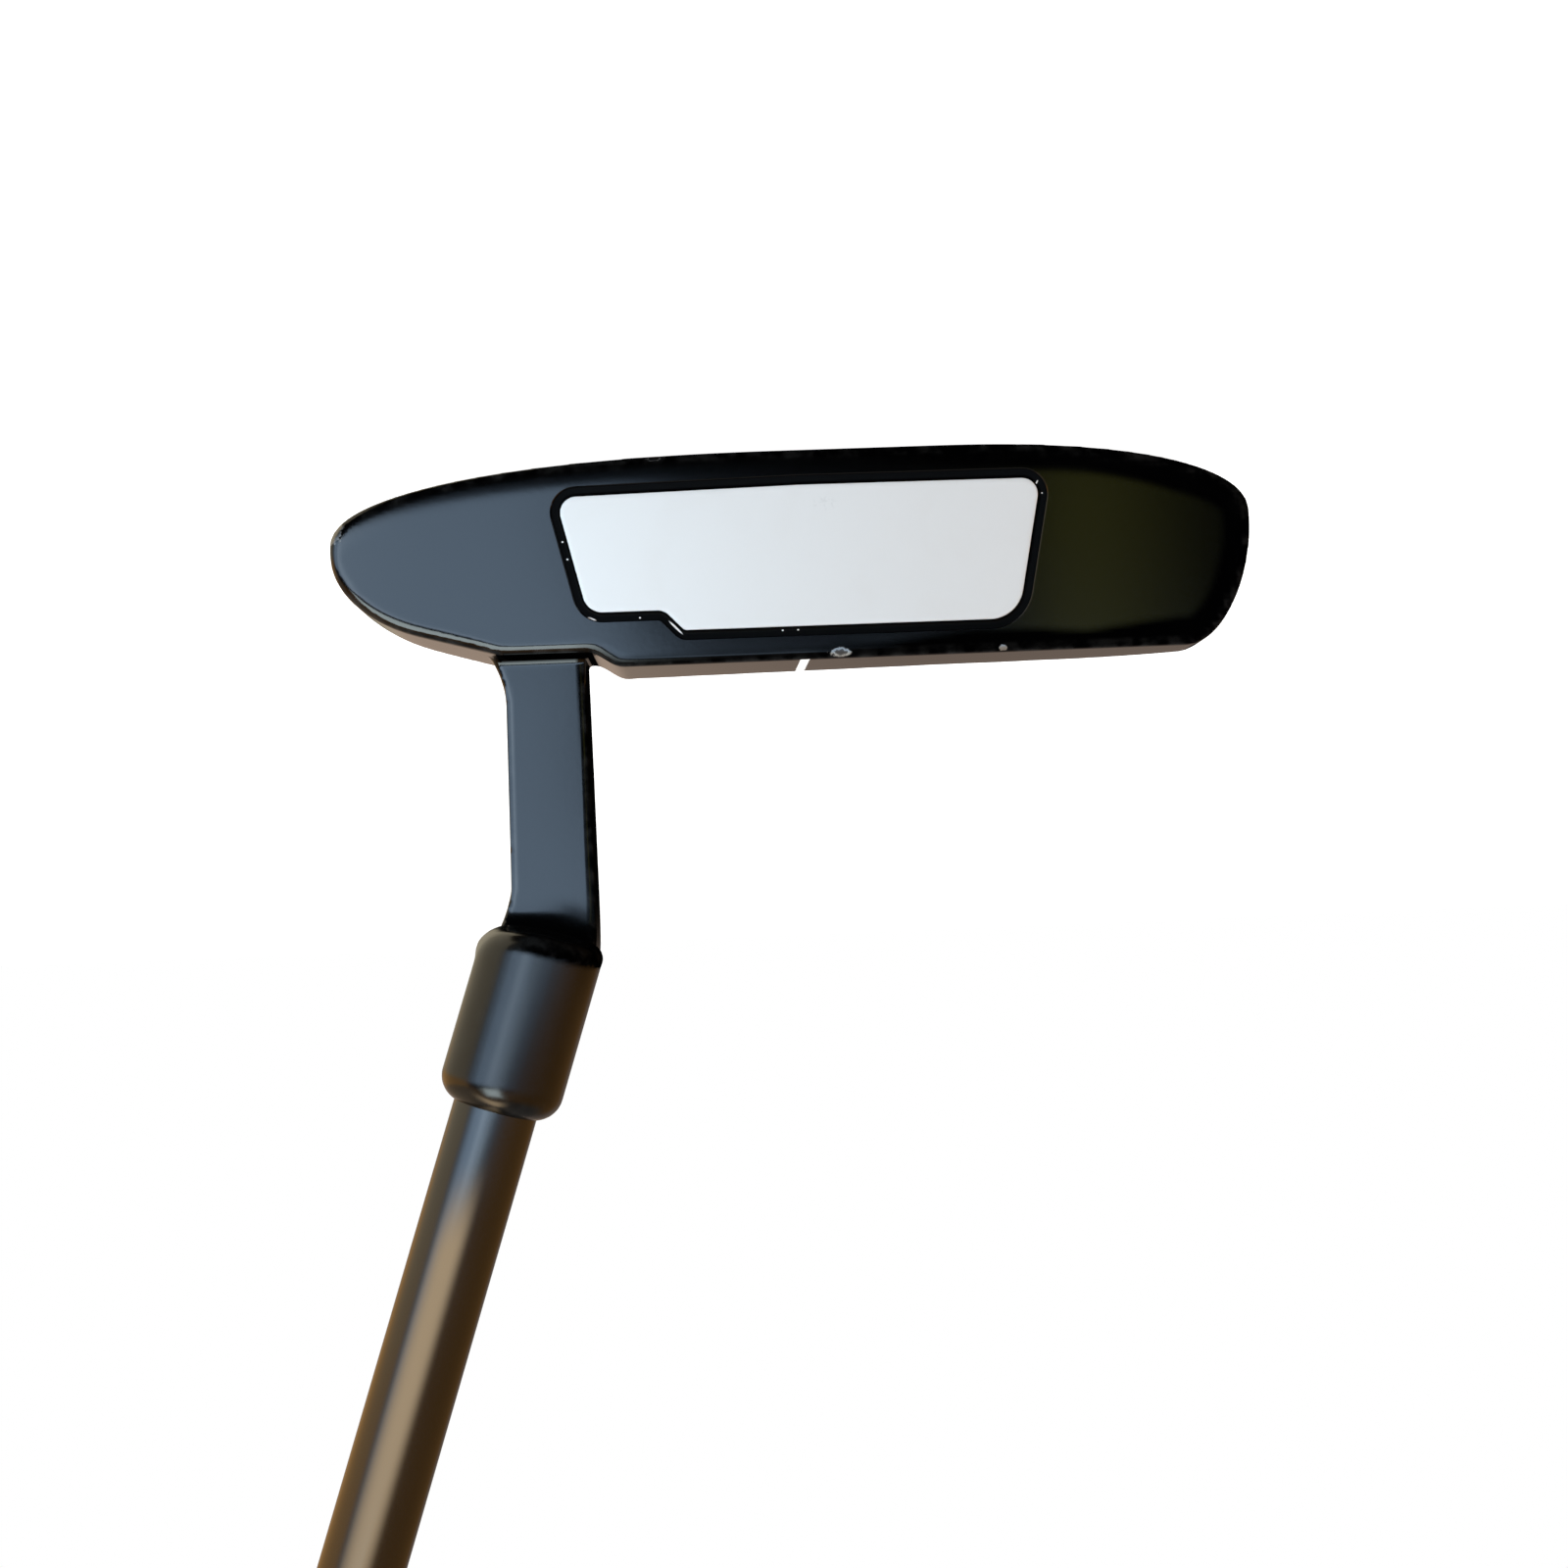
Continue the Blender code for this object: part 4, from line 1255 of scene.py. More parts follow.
    def barrel_field(self, x: np.ndarray, y: np.ndarray, z: np.ndarray) -> np.ndarray:
        """Gives the field of the barrel, whose foot is rounder towards the heel.

        Args:
            x: The grid's places towards the heel.
            y: Its places behind the face's foot.
            z: Its heights.

        Returns:
            The field on the grid.
        """
        along, aside = STANCE.from_barrel(x[:, None, None], z[None, None, :])
        radius = np.hypot(aside, y[None, :, None] + STANCE.axis_lead)
        heelward = np.clip(aside / self.barrel_radius, -1.0, 1.0)
        foot = self.barrel_foot + (self.barrel_heel_foot - self.barrel_foot) * np.maximum(heelward, 0.0) ** 2
        foot = foot + (self.barrel_toe_foot - self.barrel_foot) * np.maximum(-heelward, 0.0)
        end = np.where(along > STANCE.barrel_length / 2, self.barrel_lip, foot)
        overlap = self.barrel_overlap * (1 - np.maximum(heelward, 0.0))
        past_ends = np.maximum(along - STANCE.barrel_length, -along - overlap)
        return round_meet(radius - self.barrel_radius, past_ends, end)

    def hosel_field(self, x: np.ndarray, y: np.ndarray, z: np.ndarray) -> np.ndarray:
        """Gives the field of the neck and the barrel together.

        Args:
            x: The grid's places towards the heel.
            y: Its places behind the face's foot.
            z: Its heights.

        Returns:
            The field on the grid.
        """
        heights = tuple(self.barrel_foot_z + offset for offset in self.seat_span)
        reach = np.interp(z, heights, (self.fillets["leg"], self.fillets["seat"]))
        return soft_union(self.neck_field(x, y, z), self.barrel_field(x, y, z), reach[None, None, :])

    def casting_field(self) -> tuple[np.ndarray, np.ndarray]:
        """Samples the whole casting on a grid.

        Returns:
            The field, and the grid's first point.
        """
        margin = self.grid_margin
        low = np.array([-self.toe - margin, -STANCE.axis_lead - self.barrel_radius - margin, -margin])
        high = np.array([self.heel + margin, self.depth + margin, self.grid_top])
        axes = [np.arange(start, stop, self.voxel) for start, stop in zip(low, high)]
        x, y, z = axes
        blade_top = int(np.searchsorted(z, self.height + self.blade_room))
        whole = np.full([len(axis) for axis in axes], self.band, np.float32)
        whole[:, :, :blade_top] = self.blade_field(x, y, z[:blade_top])
        first, last = np.searchsorted(x, [self.neck_x + room for room in self.neck_room])
        near = whole[first:last]
        near[:] = soft_union(near, self.hosel_field(x[first:last], y, z), self.fillets["root"])
        return np.clip(whole, -self.band, self.band), low

    def border_shade(self, x: np.ndarray, y: np.ndarray, z: np.ndarray) -> np.ndarray:
        """Gives how much shade is painted on the face's border, which is broader at the toe.

        Args:
            x: Places towards the heel.
            y: Places behind the face's foot.
            z: Heights.

        Returns:
            One share per point.
        """
        zones = self.shade_zones
        width = np.interp(x, zones.border_places, zones.border_widths)
        toe_foot = np.interp(z, zones.toe_foot_heights, (zones.toe_foot_width, 0.0))
        width = width + toe_foot * np.interp(x, zones.toe_foot_places, FALL)
        border = np.clip(width + zones.border_blur + outline_distance(self.face_outline(), x, z), 0.0, 1.0)
        behind = y - z * math.tan(STANCE.loft)
        depth = np.interp(z, self.crisp_span, zones.border_depths)
        border = border * np.clip((depth - behind) / zones.depth_blur, 0.0, 1.0)
        return border * np.interp(x, zones.border_heel, FALL)

    def shelf_shade(self, x: np.ndarray, y: np.ndarray, z: np.ndarray) -> np.ndarray:
        """Gives how much shade is painted on the shelf in front of the neck.

        Args:
            x: Places towards the heel.
            y: Places behind the face's foot.
            z: Heights.

        Returns:
            One share per point.
        """
        zones, half = self.shade_zones, self.neck_width / 2
        toe, heel = zones.shelf_toe, zones.shelf_heel
        places = (-half - toe[0], -half - toe[1], half + heel[0], half + heel[1])
        shelf = np.interp(x - self.neck_x, places, BAND)
        shelf = shelf * np.interp(z - self.shelf, zones.shelf_heights, BAND)
        return shelf * np.interp(y - z * math.tan(STANCE.loft), zones.shelf_depths, RISE)

    def seat_shade(self, x: np.ndarray, y: np.ndarray, z: np.ndarray) -> np.ndarray:
        """Gives how much shade is painted where the neck meets the barrel.

        Args:
            x: Places towards the heel.
            y: Places behind the face's foot.
            z: Heights.

        Returns:
            One share per point.
        """
        zones = self.shade_zones
        along, aside = STANCE.from_barrel(x, z)
        seat = np.interp(along, zones.seat_along, BAND) * np.interp(aside, zones.seat_aside, FALL)
        rim = np.hypot(aside, y + STANCE.axis_lead) / self.barrel_radius
        return seat * np.interp(y, zones.seat_depths, FALL) * np.interp(rim, zones.seat_rim, RISE)

    def casting(self) -> bpy.types.Object:
        """Meshes the casting, with how sharp its edges are and how much shade is painted on it in attributes.

        Returns:
            The casting, before it is cut.
        """
        whole, low = self.casting_field()
        grid = openvdb.FloatGrid(background=self.band)
        grid.copyFromArray(np.ascontiguousarray(whole, np.float32))
        points, triangles, quads = grid.convertToPolygons(isovalue=0.0, adaptivity=0.0)
        bend = sum(np.gradient(np.gradient(whole, axis=axis), axis=axis) for axis in range(3))
        bend = bend / self.voxel ** 2
        i, j, k = np.clip(np.rint(points).astype(int), 0, np.array(whole.shape) - 1).T
        edge = np.clip(bend[i, j, k] * self.edge_radius, 0.0, 1.0)
        points = points * self.voxel + low
        # Painted shade: the border, the shelf and the barrel's seat lose their shine so they stay black as
        # though in shade
        zones = (self.border_shade, self.shelf_shade, self.seat_shade)
        painted_shade = np.maximum.reduce([zone(*points.T) for zone in zones])
        points = points - (0.0, STANCE.setback, 0.0)
        piece = new_piece("cast_head", points, [*triangles.tolist(), *quads.tolist()])
        for name, values in (("edge", edge), ("painted_shade", painted_shade)):
            attribute = piece.data.attributes.new(name, "FLOAT", "POINT")
            attribute.data.foreach_set("value", values.astype(np.float32))
        return piece

    def pocket(self) -> bpy.types.Object:
        """Makes the solid that cuts the insert's pocket and breaks its edge.

        Returns:
            The cutter.
        """
        grow, rim, floor = self.insert.bead_width, self.pocket_rim, self.insert.thickness + self.pocket_room
        steps = ((grow + rim, -self.cutter_room), (grow + rim, 0.0), (grow, rim), (grow, floor))
        return new_piece("pocket", *loft([self.insert.ring(*step) for step in steps], True))

    def groove(self) -> bpy.types.Object:
        """Makes the solid that cuts the aiming mark's groove.

        Returns:
            The cutter.
        """
        mark = AimMark()
        half, floor, top = self.mark_width / 2, self.height - self.mark_depth, self.height + self.cutter_room
        rings = []
        for y in (mark.front - STANCE.setback, self.depth - STANCE.setback):
            left, right = mark.middle(y) - half, mark.middle(y) + half
            rings.append(np.array([(left, y, floor), (right, y, floor), (right, y, top), (left, y, top)]))
        return new_piece("groove", *loft(rings, True))

    def bore(self) -> bpy.types.Object:
        """Makes the solid that cuts the blind bore, drawn in at its mouth to the shaft.

        Returns:
            The cutter.
        """
        floor = STANCE.barrel_start + self.bore_floor
        mouth = STANCE.barrel_start + STANCE.barrel_length
        wide = self.mouth_radius + self.mouth_chamfer
        profile = [
            (self.bore_radius, floor),
            (self.bore_radius, mouth - self.mouth_depth - self.mouth_ramp),
            (self.mouth_radius, mouth - self.mouth_depth),
            (self.mouth_radius, mouth - self.mouth_chamfer),
            (wide, mouth),
            (wide, mouth + self.bore_room),
        ]
        points, faces = loft(turned(profile, self.bore_facets), True)
        return new_piece("bore", STANCE.on_shaft(points), faces)

    def build(self) -> bpy.types.Object:
        """Builds and dresses the head.

        Returns:
            The head.
        """
        head = self.casting()
        cut(head, [self.pocket(), self.groove(), self.bore()])
        shade(head.data, self.sharp_angle)
        HEAD_PAINT.put_on(head)
        return settle(head, Slot.HEAD, "putter_head")


@dataclass
class FaceInsert:
    """The white plate and the black bead round it."""

    shape: InsertShape
    chamfer: float = 0.12
    border: float = 0.4
    recess: float = 0.03
    clearance: float = 0.02
    bead_sink: float = 0.3
    bead_depth: float = 2.0
    bead_lip: float = 0.06
    bead_climb: float = 0.35
    bead_steps: int = 15
    bead_sharp: float = 50.0

    def plate(self) -> bpy.types.Object:
        """Builds the plate, whose front edge is eased.

        Returns:
            The plate.
        """
        rings = [
            self.shape.ring(-self.chamfer - self.border, self.recess),
            self.shape.ring(-self.chamfer, self.recess),
            self.shape.ring(-self.chamfer / 3, self.recess + self.chamfer / 3),
            self.shape.ring(0.0, self.recess + self.chamfer),
            self.shape.ring(0.0, self.shape.thickness),
        ]
        plate = new_piece("white_plate", *loft(rings, True))
        INSERT_URETHANE.put_on(plate)
        return settle(plate, Slot.INSERT, "face_insert")

    def bead(self) -> bpy.types.Object:
        """Builds the bead, which climbs the plate's edge and lies hollow below the face.

        Returns:
            The bead.
        """
        near, width = self.clearance, self.shape.bead_width
        rings = [self.shape.ring(near, self.bead_depth)]
        for share in np.linspace(0.0, 1.0, self.bead_steps):
            climb = max(0.0, 1 - share / self.bead_climb) ** 2
            sink = self.recess + self.bead_lip + self.bead_sink * (1 - climb) - self.bead_lip * share
            rings.append(self.shape.ring(near + (width - 2 * near) * share, sink))
        rings.append(self.shape.ring(width - near, self.bead_depth))
        bead = new_piece("resin_bead", *loft(rings, False), sharp=self.bead_sharp)
        BEAD_RESIN.put_on(bead)
        return settle(bead, Slot.BEAD, "insert_bead")

    def build(self) -> list[bpy.types.Object]:
        """Builds and dresses both pieces."""
        return [self.plate(), self.bead()]


@dataclass
class AimMark:
    """The white line across the top rail."""

    width: float = 1.1
    depth: float = 0.46
    height: float = 24.7
    front: float = 2.0
    back: float = 12.0
    edge_radius: float = 0.4
    slant: float = 0.035
    sink: float = 0.03
    ease_run: float = 0.12
    ease_drop: float = 0.06
    front_run: float = 1.0
    rear_start: float = 1.5

    def middle(self, y: float) -> float:
        """Gives where the mark's middle lies at a depth behind the head's origin."""
        return self.slant * (y + STANCE.setback - self.front)

    def top(self, y: float) -> float:
        """Gives the height of the rail's top where the mark crosses it."""
        inside = max(0.0, self.edge_radius - (y - self.height * math.tan(STANCE.loft)))
        return self.height - self.edge_radius + math.sqrt(self.edge_radius ** 2 - inside ** 2)

    def build(self) -> bpy.types.Object:
        """Builds and dresses the mark.

        Returns:
            The mark.
        """
        half, floor = self.width / 2, self.height - self.depth
        close_rows = np.linspace(self.front, self.front + self.front_run, 8)
        wide_rows = np.linspace(self.front + self.rear_start, self.back, 10)
        rings = []
        for y in (*close_rows, *wide_rows):
            top = self.top(y) - self.sink
            low, inner = top - self.ease_drop, half - self.ease_run
            section = [(-half, floor), (half, floor), (half, low), (inner, top), (-inner, top), (-half, low)]
            back = y - STANCE.setback
            rings.append(np.array([(x + self.middle(back), back, z) for x, z in section]))
        mark = new_piece("aim_mark", *loft(rings, True))
        MARK_PAINT.put_on(mark)
        return settle(mark, Slot.MARK, "sight_line")


@dataclass
class Shaft:
    """The stepped steel tube."""

    tip_radius: float = 4.7
    butt_radius: float = 7.35
    wall: float = 0.55
    foot: float = 62.4
    top: float = 852.6
    first_step: float = 248.5
    last_step: float = 552.6
    steps: int = 9
    ramp: float = 1.2
    facets: int = 128

    def outside(self) -> list[Point2]:
        """Gives the outside from the tip to the butt, with an eased ramp at each step.

        Returns:
            Radii and heights.
        """
        rise = (self.butt_radius - self.tip_radius) / self.steps
        profile = [(self.tip_radius, self.foot)]
        for step, height in enumerate(np.linspace(self.first_step, self.last_step, self.steps)):
            for share in np.linspace(0.0, 1.0, 6):
                radius = self.tip_radius + rise * (step + smooth(share))
                profile.append((radius, float(height + self.ramp * share)))
        return [*profile, (self.butt_radius, self.top)]

    def build(self) -> bpy.types.Object:
        """Builds and dresses the shaft.

        Returns:
            The shaft.
        """
        outside = self.outside()
        inside = [(radius - self.wall, height) for radius, height in reversed(outside)]
        points, faces = loft(turned([*outside, *inside], self.facets), False)
        shaft = new_piece("steel_shaft", STANCE.on_shaft(points), faces)
        SHAFT_PAINT.put_on(shaft)
        return settle(shaft, Slot.SHAFT, "shaft")


class PipField(Enum):
    """Where the grip carries raised pips: the middle angle and the span round it, in degrees."""

    BACK = (0.0, 190.0)
    THUMBS = (180.0, 52.0)


PIP_SOCKETS = {
    "Geometry": "Geometry", "Columns": "Int", "Rows": "Int", "Span": "Float", "Run": "Float",
    "Middle angle": "Float", "Middle height": "Float", "Radius": "Float", "Height": "Float",
    "Unevenness": "Float", "Seed": "Int", "Foot": "Vector", "Up": "Vector", "Across": "Vector",
    "Beside": "Vector", "Material": "Material",
}


@dataclass
class Grip:
    """The rubber pistol grip with its pips and its butt cap."""

    foot: float = 591.8
    length: float = 267.0
    bore: float = 8.05
    flat: float = 9.5
    flat_ease: float = 1.4
    mouth_wall: float = 1.65
    top_wall: float = 5.35
    swell: float = 4.2
    swell_centre: float = 232.0
    swell_spread: float = 52.0
    mouth: tuple[Point2, ...] = ((1.1, 0.0), (0.5, 0.15), (0.0, 0.9))
    plain_margins: Point2 = (3.0, 14.0)
    plain_rings: int = 84
    grooves: Point2 = (11.0, 7.0)
    groove_section: tuple[Point2, ...] = ((-0.7, 0.0), (-0.35, 0.45), (0.35, 0.45), (0.7, 0.0))
    top_margin: float = 3.0
    chamfer: float = 0.3
    cap_gap: float = 0.2
    cap_thickness: float = 5.0
    cap_rounding: float = 1.8
    cap_waist: float = 2.2
    cap_spigot: float = 6.0
    cap_ring: Point2 = (7.2, 5.6)
    cap_ring_side: float = 0.3
    cap_ring_depth: float = 0.35
    vent: float = 1.2
    vent_chamfer: float = 0.4
    facets: int = 144
    sharp_angle: float = 50.0
    pip_radius: float = 0.62
    pip_height: float = 0.26
    pip_pitch: float = 4.2
    pip_margin: float = 62.0
    pip_drop: float = 4.0
    pip_unevenness: float = 0.25
    pip_facets: tuple[int, int] = (8, 6)
    ray_start: float = 40.0
    ray_length: float = 50.0
    seed: int = 7

    def section(self, height: float, inset: float = 0.0, lift: float = 0.0) -> np.ndarray:
        """Gives one section of the outside.

        Args:
            height: Height above the grip's foot.
            inset: How far the outline is drawn in.
            lift: Height added to the points alone.

        Returns:
            Points in the shaft's own frame.
        """
        up = min(max(height / self.length, 0.0), 1.0)
        radius = self.bore + self.mouth_wall + (self.top_wall - self.mouth_wall) * up * (2 - up)
        swell = self.swell * math.exp(-(((height - self.swell_centre) / self.swell_spread) ** 2))
        angles = np.linspace(0.0, 2 * math.pi, self.facets, endpoint=False)
        reach = radius + swell * np.maximum(0.0, np.cos(angles)) ** 2
        x = -soft_union(-reach * np.cos(angles), np.full(self.facets, self.flat), self.flat_ease)
        y = reach * np.sin(angles)
        shrink = 1 - inset / radius
        return np.stack([x * shrink, y * shrink, np.full(self.facets, self.foot + height + lift)], 1)

    def sleeve(self) -> bpy.types.Object:
        """Builds the rubber sleeve, with a beaded mouth and two ring grooves below the cap.

        Returns:
            The sleeve.
        """
        rings = [self.section(0.0, inset, lift) for inset, lift in self.mouth]
        low, high = self.plain_margins[0], self.length - self.plain_margins[1]
        rings += [self.section(height) for height in np.linspace(low, high, self.plain_rings)]
        for groove in self.grooves:
            for offset, inset in self.groove_section:
                rings.append(self.section(self.length - groove + offset, inset))
        rings += [self.section(self.length - margin) for margin in (self.top_margin, self.chamfer)]
        rings.append(self.section(self.length, self.chamfer))
        rings += turned([(self.bore, self.foot + self.length), (self.bore, self.foot)], self.facets)
        points, faces = loft(rings, False)
        sleeve = new_piece("grip_sleeve", STANCE.on_shaft(points), faces, sharp=self.sharp_angle)
        GRIP_RUBBER.put_on(sleeve)
        return settle(sleeve, Slot.GRIP, "grip")

    def cap(self) -> bpy.types.Object:
        """Builds the butt cap with a rounded rim, a shallow ring and a vent.

        Returns:
            The cap.
        """
        seat = self.length + self.cap_gap
        top = self.foot + seat + self.cap_thickness
        end = self.foot + self.length - self.cap_spigot
        rings = [self.section(seat, self.chamfer)]
        rings += [self.section(seat + rise) for rise in (self.chamfer, self.cap_waist)]
        for angle in np.linspace(0.0, math.pi / 2, 9):
            rise = self.cap_thickness - self.cap_rounding * (1 - math.sin(angle))
            rings.append(self.section(seat + rise, self.cap_rounding * (1 - math.cos(angle))))
        (outer, inner), side, low = self.cap_ring, self.cap_ring_side, top - self.cap_ring_depth
        ring = [(outer, top), (outer - side, low), (inner + side, low), (inner, top)]
        vent = [(self.vent + self.vent_chamfer, top), (self.vent, top - self.vent_chamfer), (self.vent, end)]
        spigot = self.bore - self.cap_gap
        foot = [(spigot, end), (spigot, self.foot + seat)]
        points, faces = loft([*rings, *turned([*ring, *vent, *foot], self.facets)], False)
        cap = new_piece("butt_cap", STANCE.on_shaft(points), faces, sharp=self.sharp_angle)
        CAP_RUBBER.put_on(cap)
        return settle(cap, Slot.CAP, "grip_cap")

    def pip_seats(self, graph: Graph, given: Any) -> tuple[bpy.types.NodeSocket, bpy.types.NodeSocket]:
        """Drops staggered rows of points onto the sleeve.

        Args:
            graph: The pips' tree.
            given: The sockets of its group input.

        Returns:
            The points, and the sleeve's normal at each of them.
        """
        grid = graph.node("GeometryNodeMeshGrid", {
            "Size X": given["Span"], "Size Y": given["Run"],
            "Vertices X": given["Columns"], "Vertices Y": given["Rows"],
        }).outputs["Mesh"]
        place = graph.parts(graph.node("GeometryNodeInputPosition").outputs[0])
        index = graph.node("GeometryNodeInputIndex").outputs[0]
        column = graph.math("FLOOR", graph.math("DIVIDE", index, given["Rows"]))
        pitch = graph.math("DIVIDE", given["Run"], given["Rows"])
        stagger = graph.product(graph.math("MODULO", column, 2.0), graph.product(pitch, 0.5))
        angle = graph.math("ADD", place["X"], given["Middle angle"])
        height = graph.math("ADD", graph.math("ADD", place["Y"], stagger), given["Middle height"])
        across = graph.scaled(given["Across"], graph.math("COSINE", angle))
        outward = graph.vector("ADD", across, graph.scaled(given["Beside"], graph.math("SINE", angle)))
        axis = graph.vector("ADD", given["Foot"], graph.scaled(given["Up"], height))
        ray = graph.node("GeometryNodeRaycast", {
            "Target Geometry": given["Geometry"],
            "Source Position": graph.vector("ADD", axis, graph.scaled(outward, self.ray_start * MM)),
            "Ray Direction": graph.scaled(outward, -1.0),
            "Ray Length": self.ray_length * MM,
        }).outputs
        capture = graph.node("GeometryNodeCaptureAttribute", domain="POINT")
        capture.capture_items.new("VECTOR", "Normal")
        graph.feed(capture, {"Geometry": grid, "Normal": ray["Hit Normal"]})
        seated = graph.node("GeometryNodeSetPosition", {
            "Geometry": capture.outputs["Geometry"], "Position": ray["Hit Position"],
        }).outputs["Geometry"]
        return seated, capture.outputs["Normal"]

    def pip_tree(self) -> bpy.types.GeometryNodeTree:
        """Builds the node tree that sets pips in staggered rows on the sleeve it is given.

        Returns:
            The tree.
        """
        tree = bpy.data.node_groups.new("grip_pips", "GeometryNodeTree")
        graph = Graph(tree)
        for name, kind in PIP_SOCKETS.items():
            tree.interface.new_socket(name, in_out="INPUT", socket_type=f"NodeSocket{kind}")
        tree.interface.new_socket("Geometry", in_out="OUTPUT", socket_type="NodeSocketGeometry")
        given = graph.node("NodeGroupInput").outputs
        seated, normal = self.pip_seats(graph, given)
        turn = graph.node("FunctionNodeAlignRotationToVector", {"Vector": normal}, axis="Z").outputs[0]
        draw = {2: graph.math("SUBTRACT", 1.0, given["Unevenness"]), 3: 1.0, "Seed": given["Seed"]}
        uneven = graph.node("FunctionNodeRandomValue", draw, data_type="FLOAT").outputs[1]
        size = graph.node("ShaderNodeCombineXYZ", {
            "X": given["Radius"], "Y": given["Radius"], "Z": graph.product(given["Height"], uneven),
        }).outputs[0]
        ball = dict(zip(("Segments", "Rings", "Radius"), (*self.pip_facets, 1.0)))
        dome = graph.node("GeometryNodeMeshUVSphere", ball).outputs["Mesh"]
        pips = graph.node("GeometryNodeInstanceOnPoints", {
            "Points": seated, "Instance": dome, "Rotation": turn, "Scale": size,
        }).outputs[0]
        solid = graph.node("GeometryNodeRealizeInstances", {"Geometry": pips}).outputs[0]
        smoothed = graph.node("GeometryNodeSetShadeSmooth", {"Geometry": solid}).outputs[0]
        finish = {"Geometry": smoothed, "Material": given["Material"]}
        dressed = graph.node("GeometryNodeSetMaterial", finish).outputs[0]
        graph.node("NodeGroupOutput", {"Geometry": dressed})
        return tree

    def pips(self, sleeve: bpy.types.Object, zone: PipField) -> bpy.types.Object:
        """Sets one field of pips on the sleeve.

        Args:
            sleeve: The finished sleeve.
            zone: Which field.

        Returns:
            The pips, as one piece.
        """
        middle, span = (math.radians(value) for value in zone.value)
        run = self.length - self.pip_margin
        girth = self.bore + self.top_wall
        columns = max(3, round(span * girth / self.pip_pitch))
        piece = bpy.data.objects.new(f"{zone.name.lower()}_pips", sleeve.data.copy())
        bpy.context.scene.collection.objects.link(piece)
        modifier = piece.modifiers.new("pips", "NODES")
        modifier.node_group = bpy.data.node_groups.get("grip_pips") or self.pip_tree()
        ends = np.array([(0.0, 0.0, 0.0), (0.0, 0.0, 1.0), (1.0, 0.0, 0.0)])
        foot, up, across = STANCE.on_shaft(ends)
        values = {
            "Columns": columns, "Rows": round(run / self.pip_pitch), "Span": span, "Run": run * MM,
            "Middle angle": middle, "Middle height": (self.foot + self.length / 2 - self.pip_drop) * MM,
            "Radius": self.pip_radius * MM, "Height": self.pip_height * MM,
            "Unevenness": self.pip_unevenness, "Seed": self.seed,
            "Foot": Vector(foot * MM), "Up": Vector(up - foot), "Across": Vector(across - foot),
            "Beside": Vector((0.0, 1.0, 0.0)), "Material": GRIP_RUBBER.material(),
        }
        for item in modifier.node_group.interface.items_tree:
            if item.in_out == "INPUT" and item.name in values:
                modifier[item.identifier] = values[item.name]
        freeze(piece)
        return settle(piece, Slot.GRIP)

    def build(self) -> list[bpy.types.Object]:
        """Builds and dresses the grip."""
        sleeve = self.sleeve()
        return [sleeve, *(self.pips(sleeve, zone) for zone in PipField), self.cap()]


@dataclass
class InnerPieces:
    """The solids inside the club, which keep their shape and get a finish."""

    finishes: dict[str, Finish] = field(default_factory=lambda: dict(INNER_FINISHES))

    def build(self) -> None:
        """Dresses each inner solid."""
        for node, finish in self.finishes.items():
            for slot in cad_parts[node].material_slots:
                slot.material = finish.material()
            LOG.info("%s: dressed in %s", node, finish.name)


# The studio


@dataclass(frozen=True)
class Softbox:
    """A lamp that shapes diffuse surfaces and stays out of reflections."""

    name: str
    place: Point3
    aim: Point3
    size: float
    power: float
    colour: Colour

    def build(self) -> None:
        """Hangs the lamp."""
        light = bpy.data.lights.new(self.name, "AREA")
        light.shape = "DISK"
        light.size = self.size
        light.energy = self.power
        light.color = self.colour
        lamp = bpy.data.objects.new(self.name, light)
        lamp.location = self.place
        lamp.rotation_euler = (Vector(self.aim) - Vector(self.place)).to_track_quat("-Z", "Y").to_euler()
        lamp.visible_glossy = False
        lamp.visible_camera = False
        bpy.context.scene.collection.objects.link(lamp)


@dataclass(frozen=True)
class Panel:
    """A soft-edged panel of the surroundings: its limits towards the heel and above level, in degrees."""

    sides: Point2
    ups: Point2
    blur: float

    def mask(self, graph: Graph, side: Any, up: Any) -> bpy.types.NodeSocket:
        """Masks the panel.

        Args:
            graph: The world's tree.
            side: Degrees from straight in front towards the heel.
            up: Degrees above level.

        Returns:
            1 inside the panel, 0 outside.
        """
        (left, right), (low, high), rim = self.sides, self.ups, self.blur / 3
        return graph.product(
            graph.step(side, left - self.blur, left + self.blur),
            graph.step(side, right + self.blur, right - self.blur),
            graph.step(up, low - rim, low + rim),
            graph.step(up, high + rim, high - rim),
        )


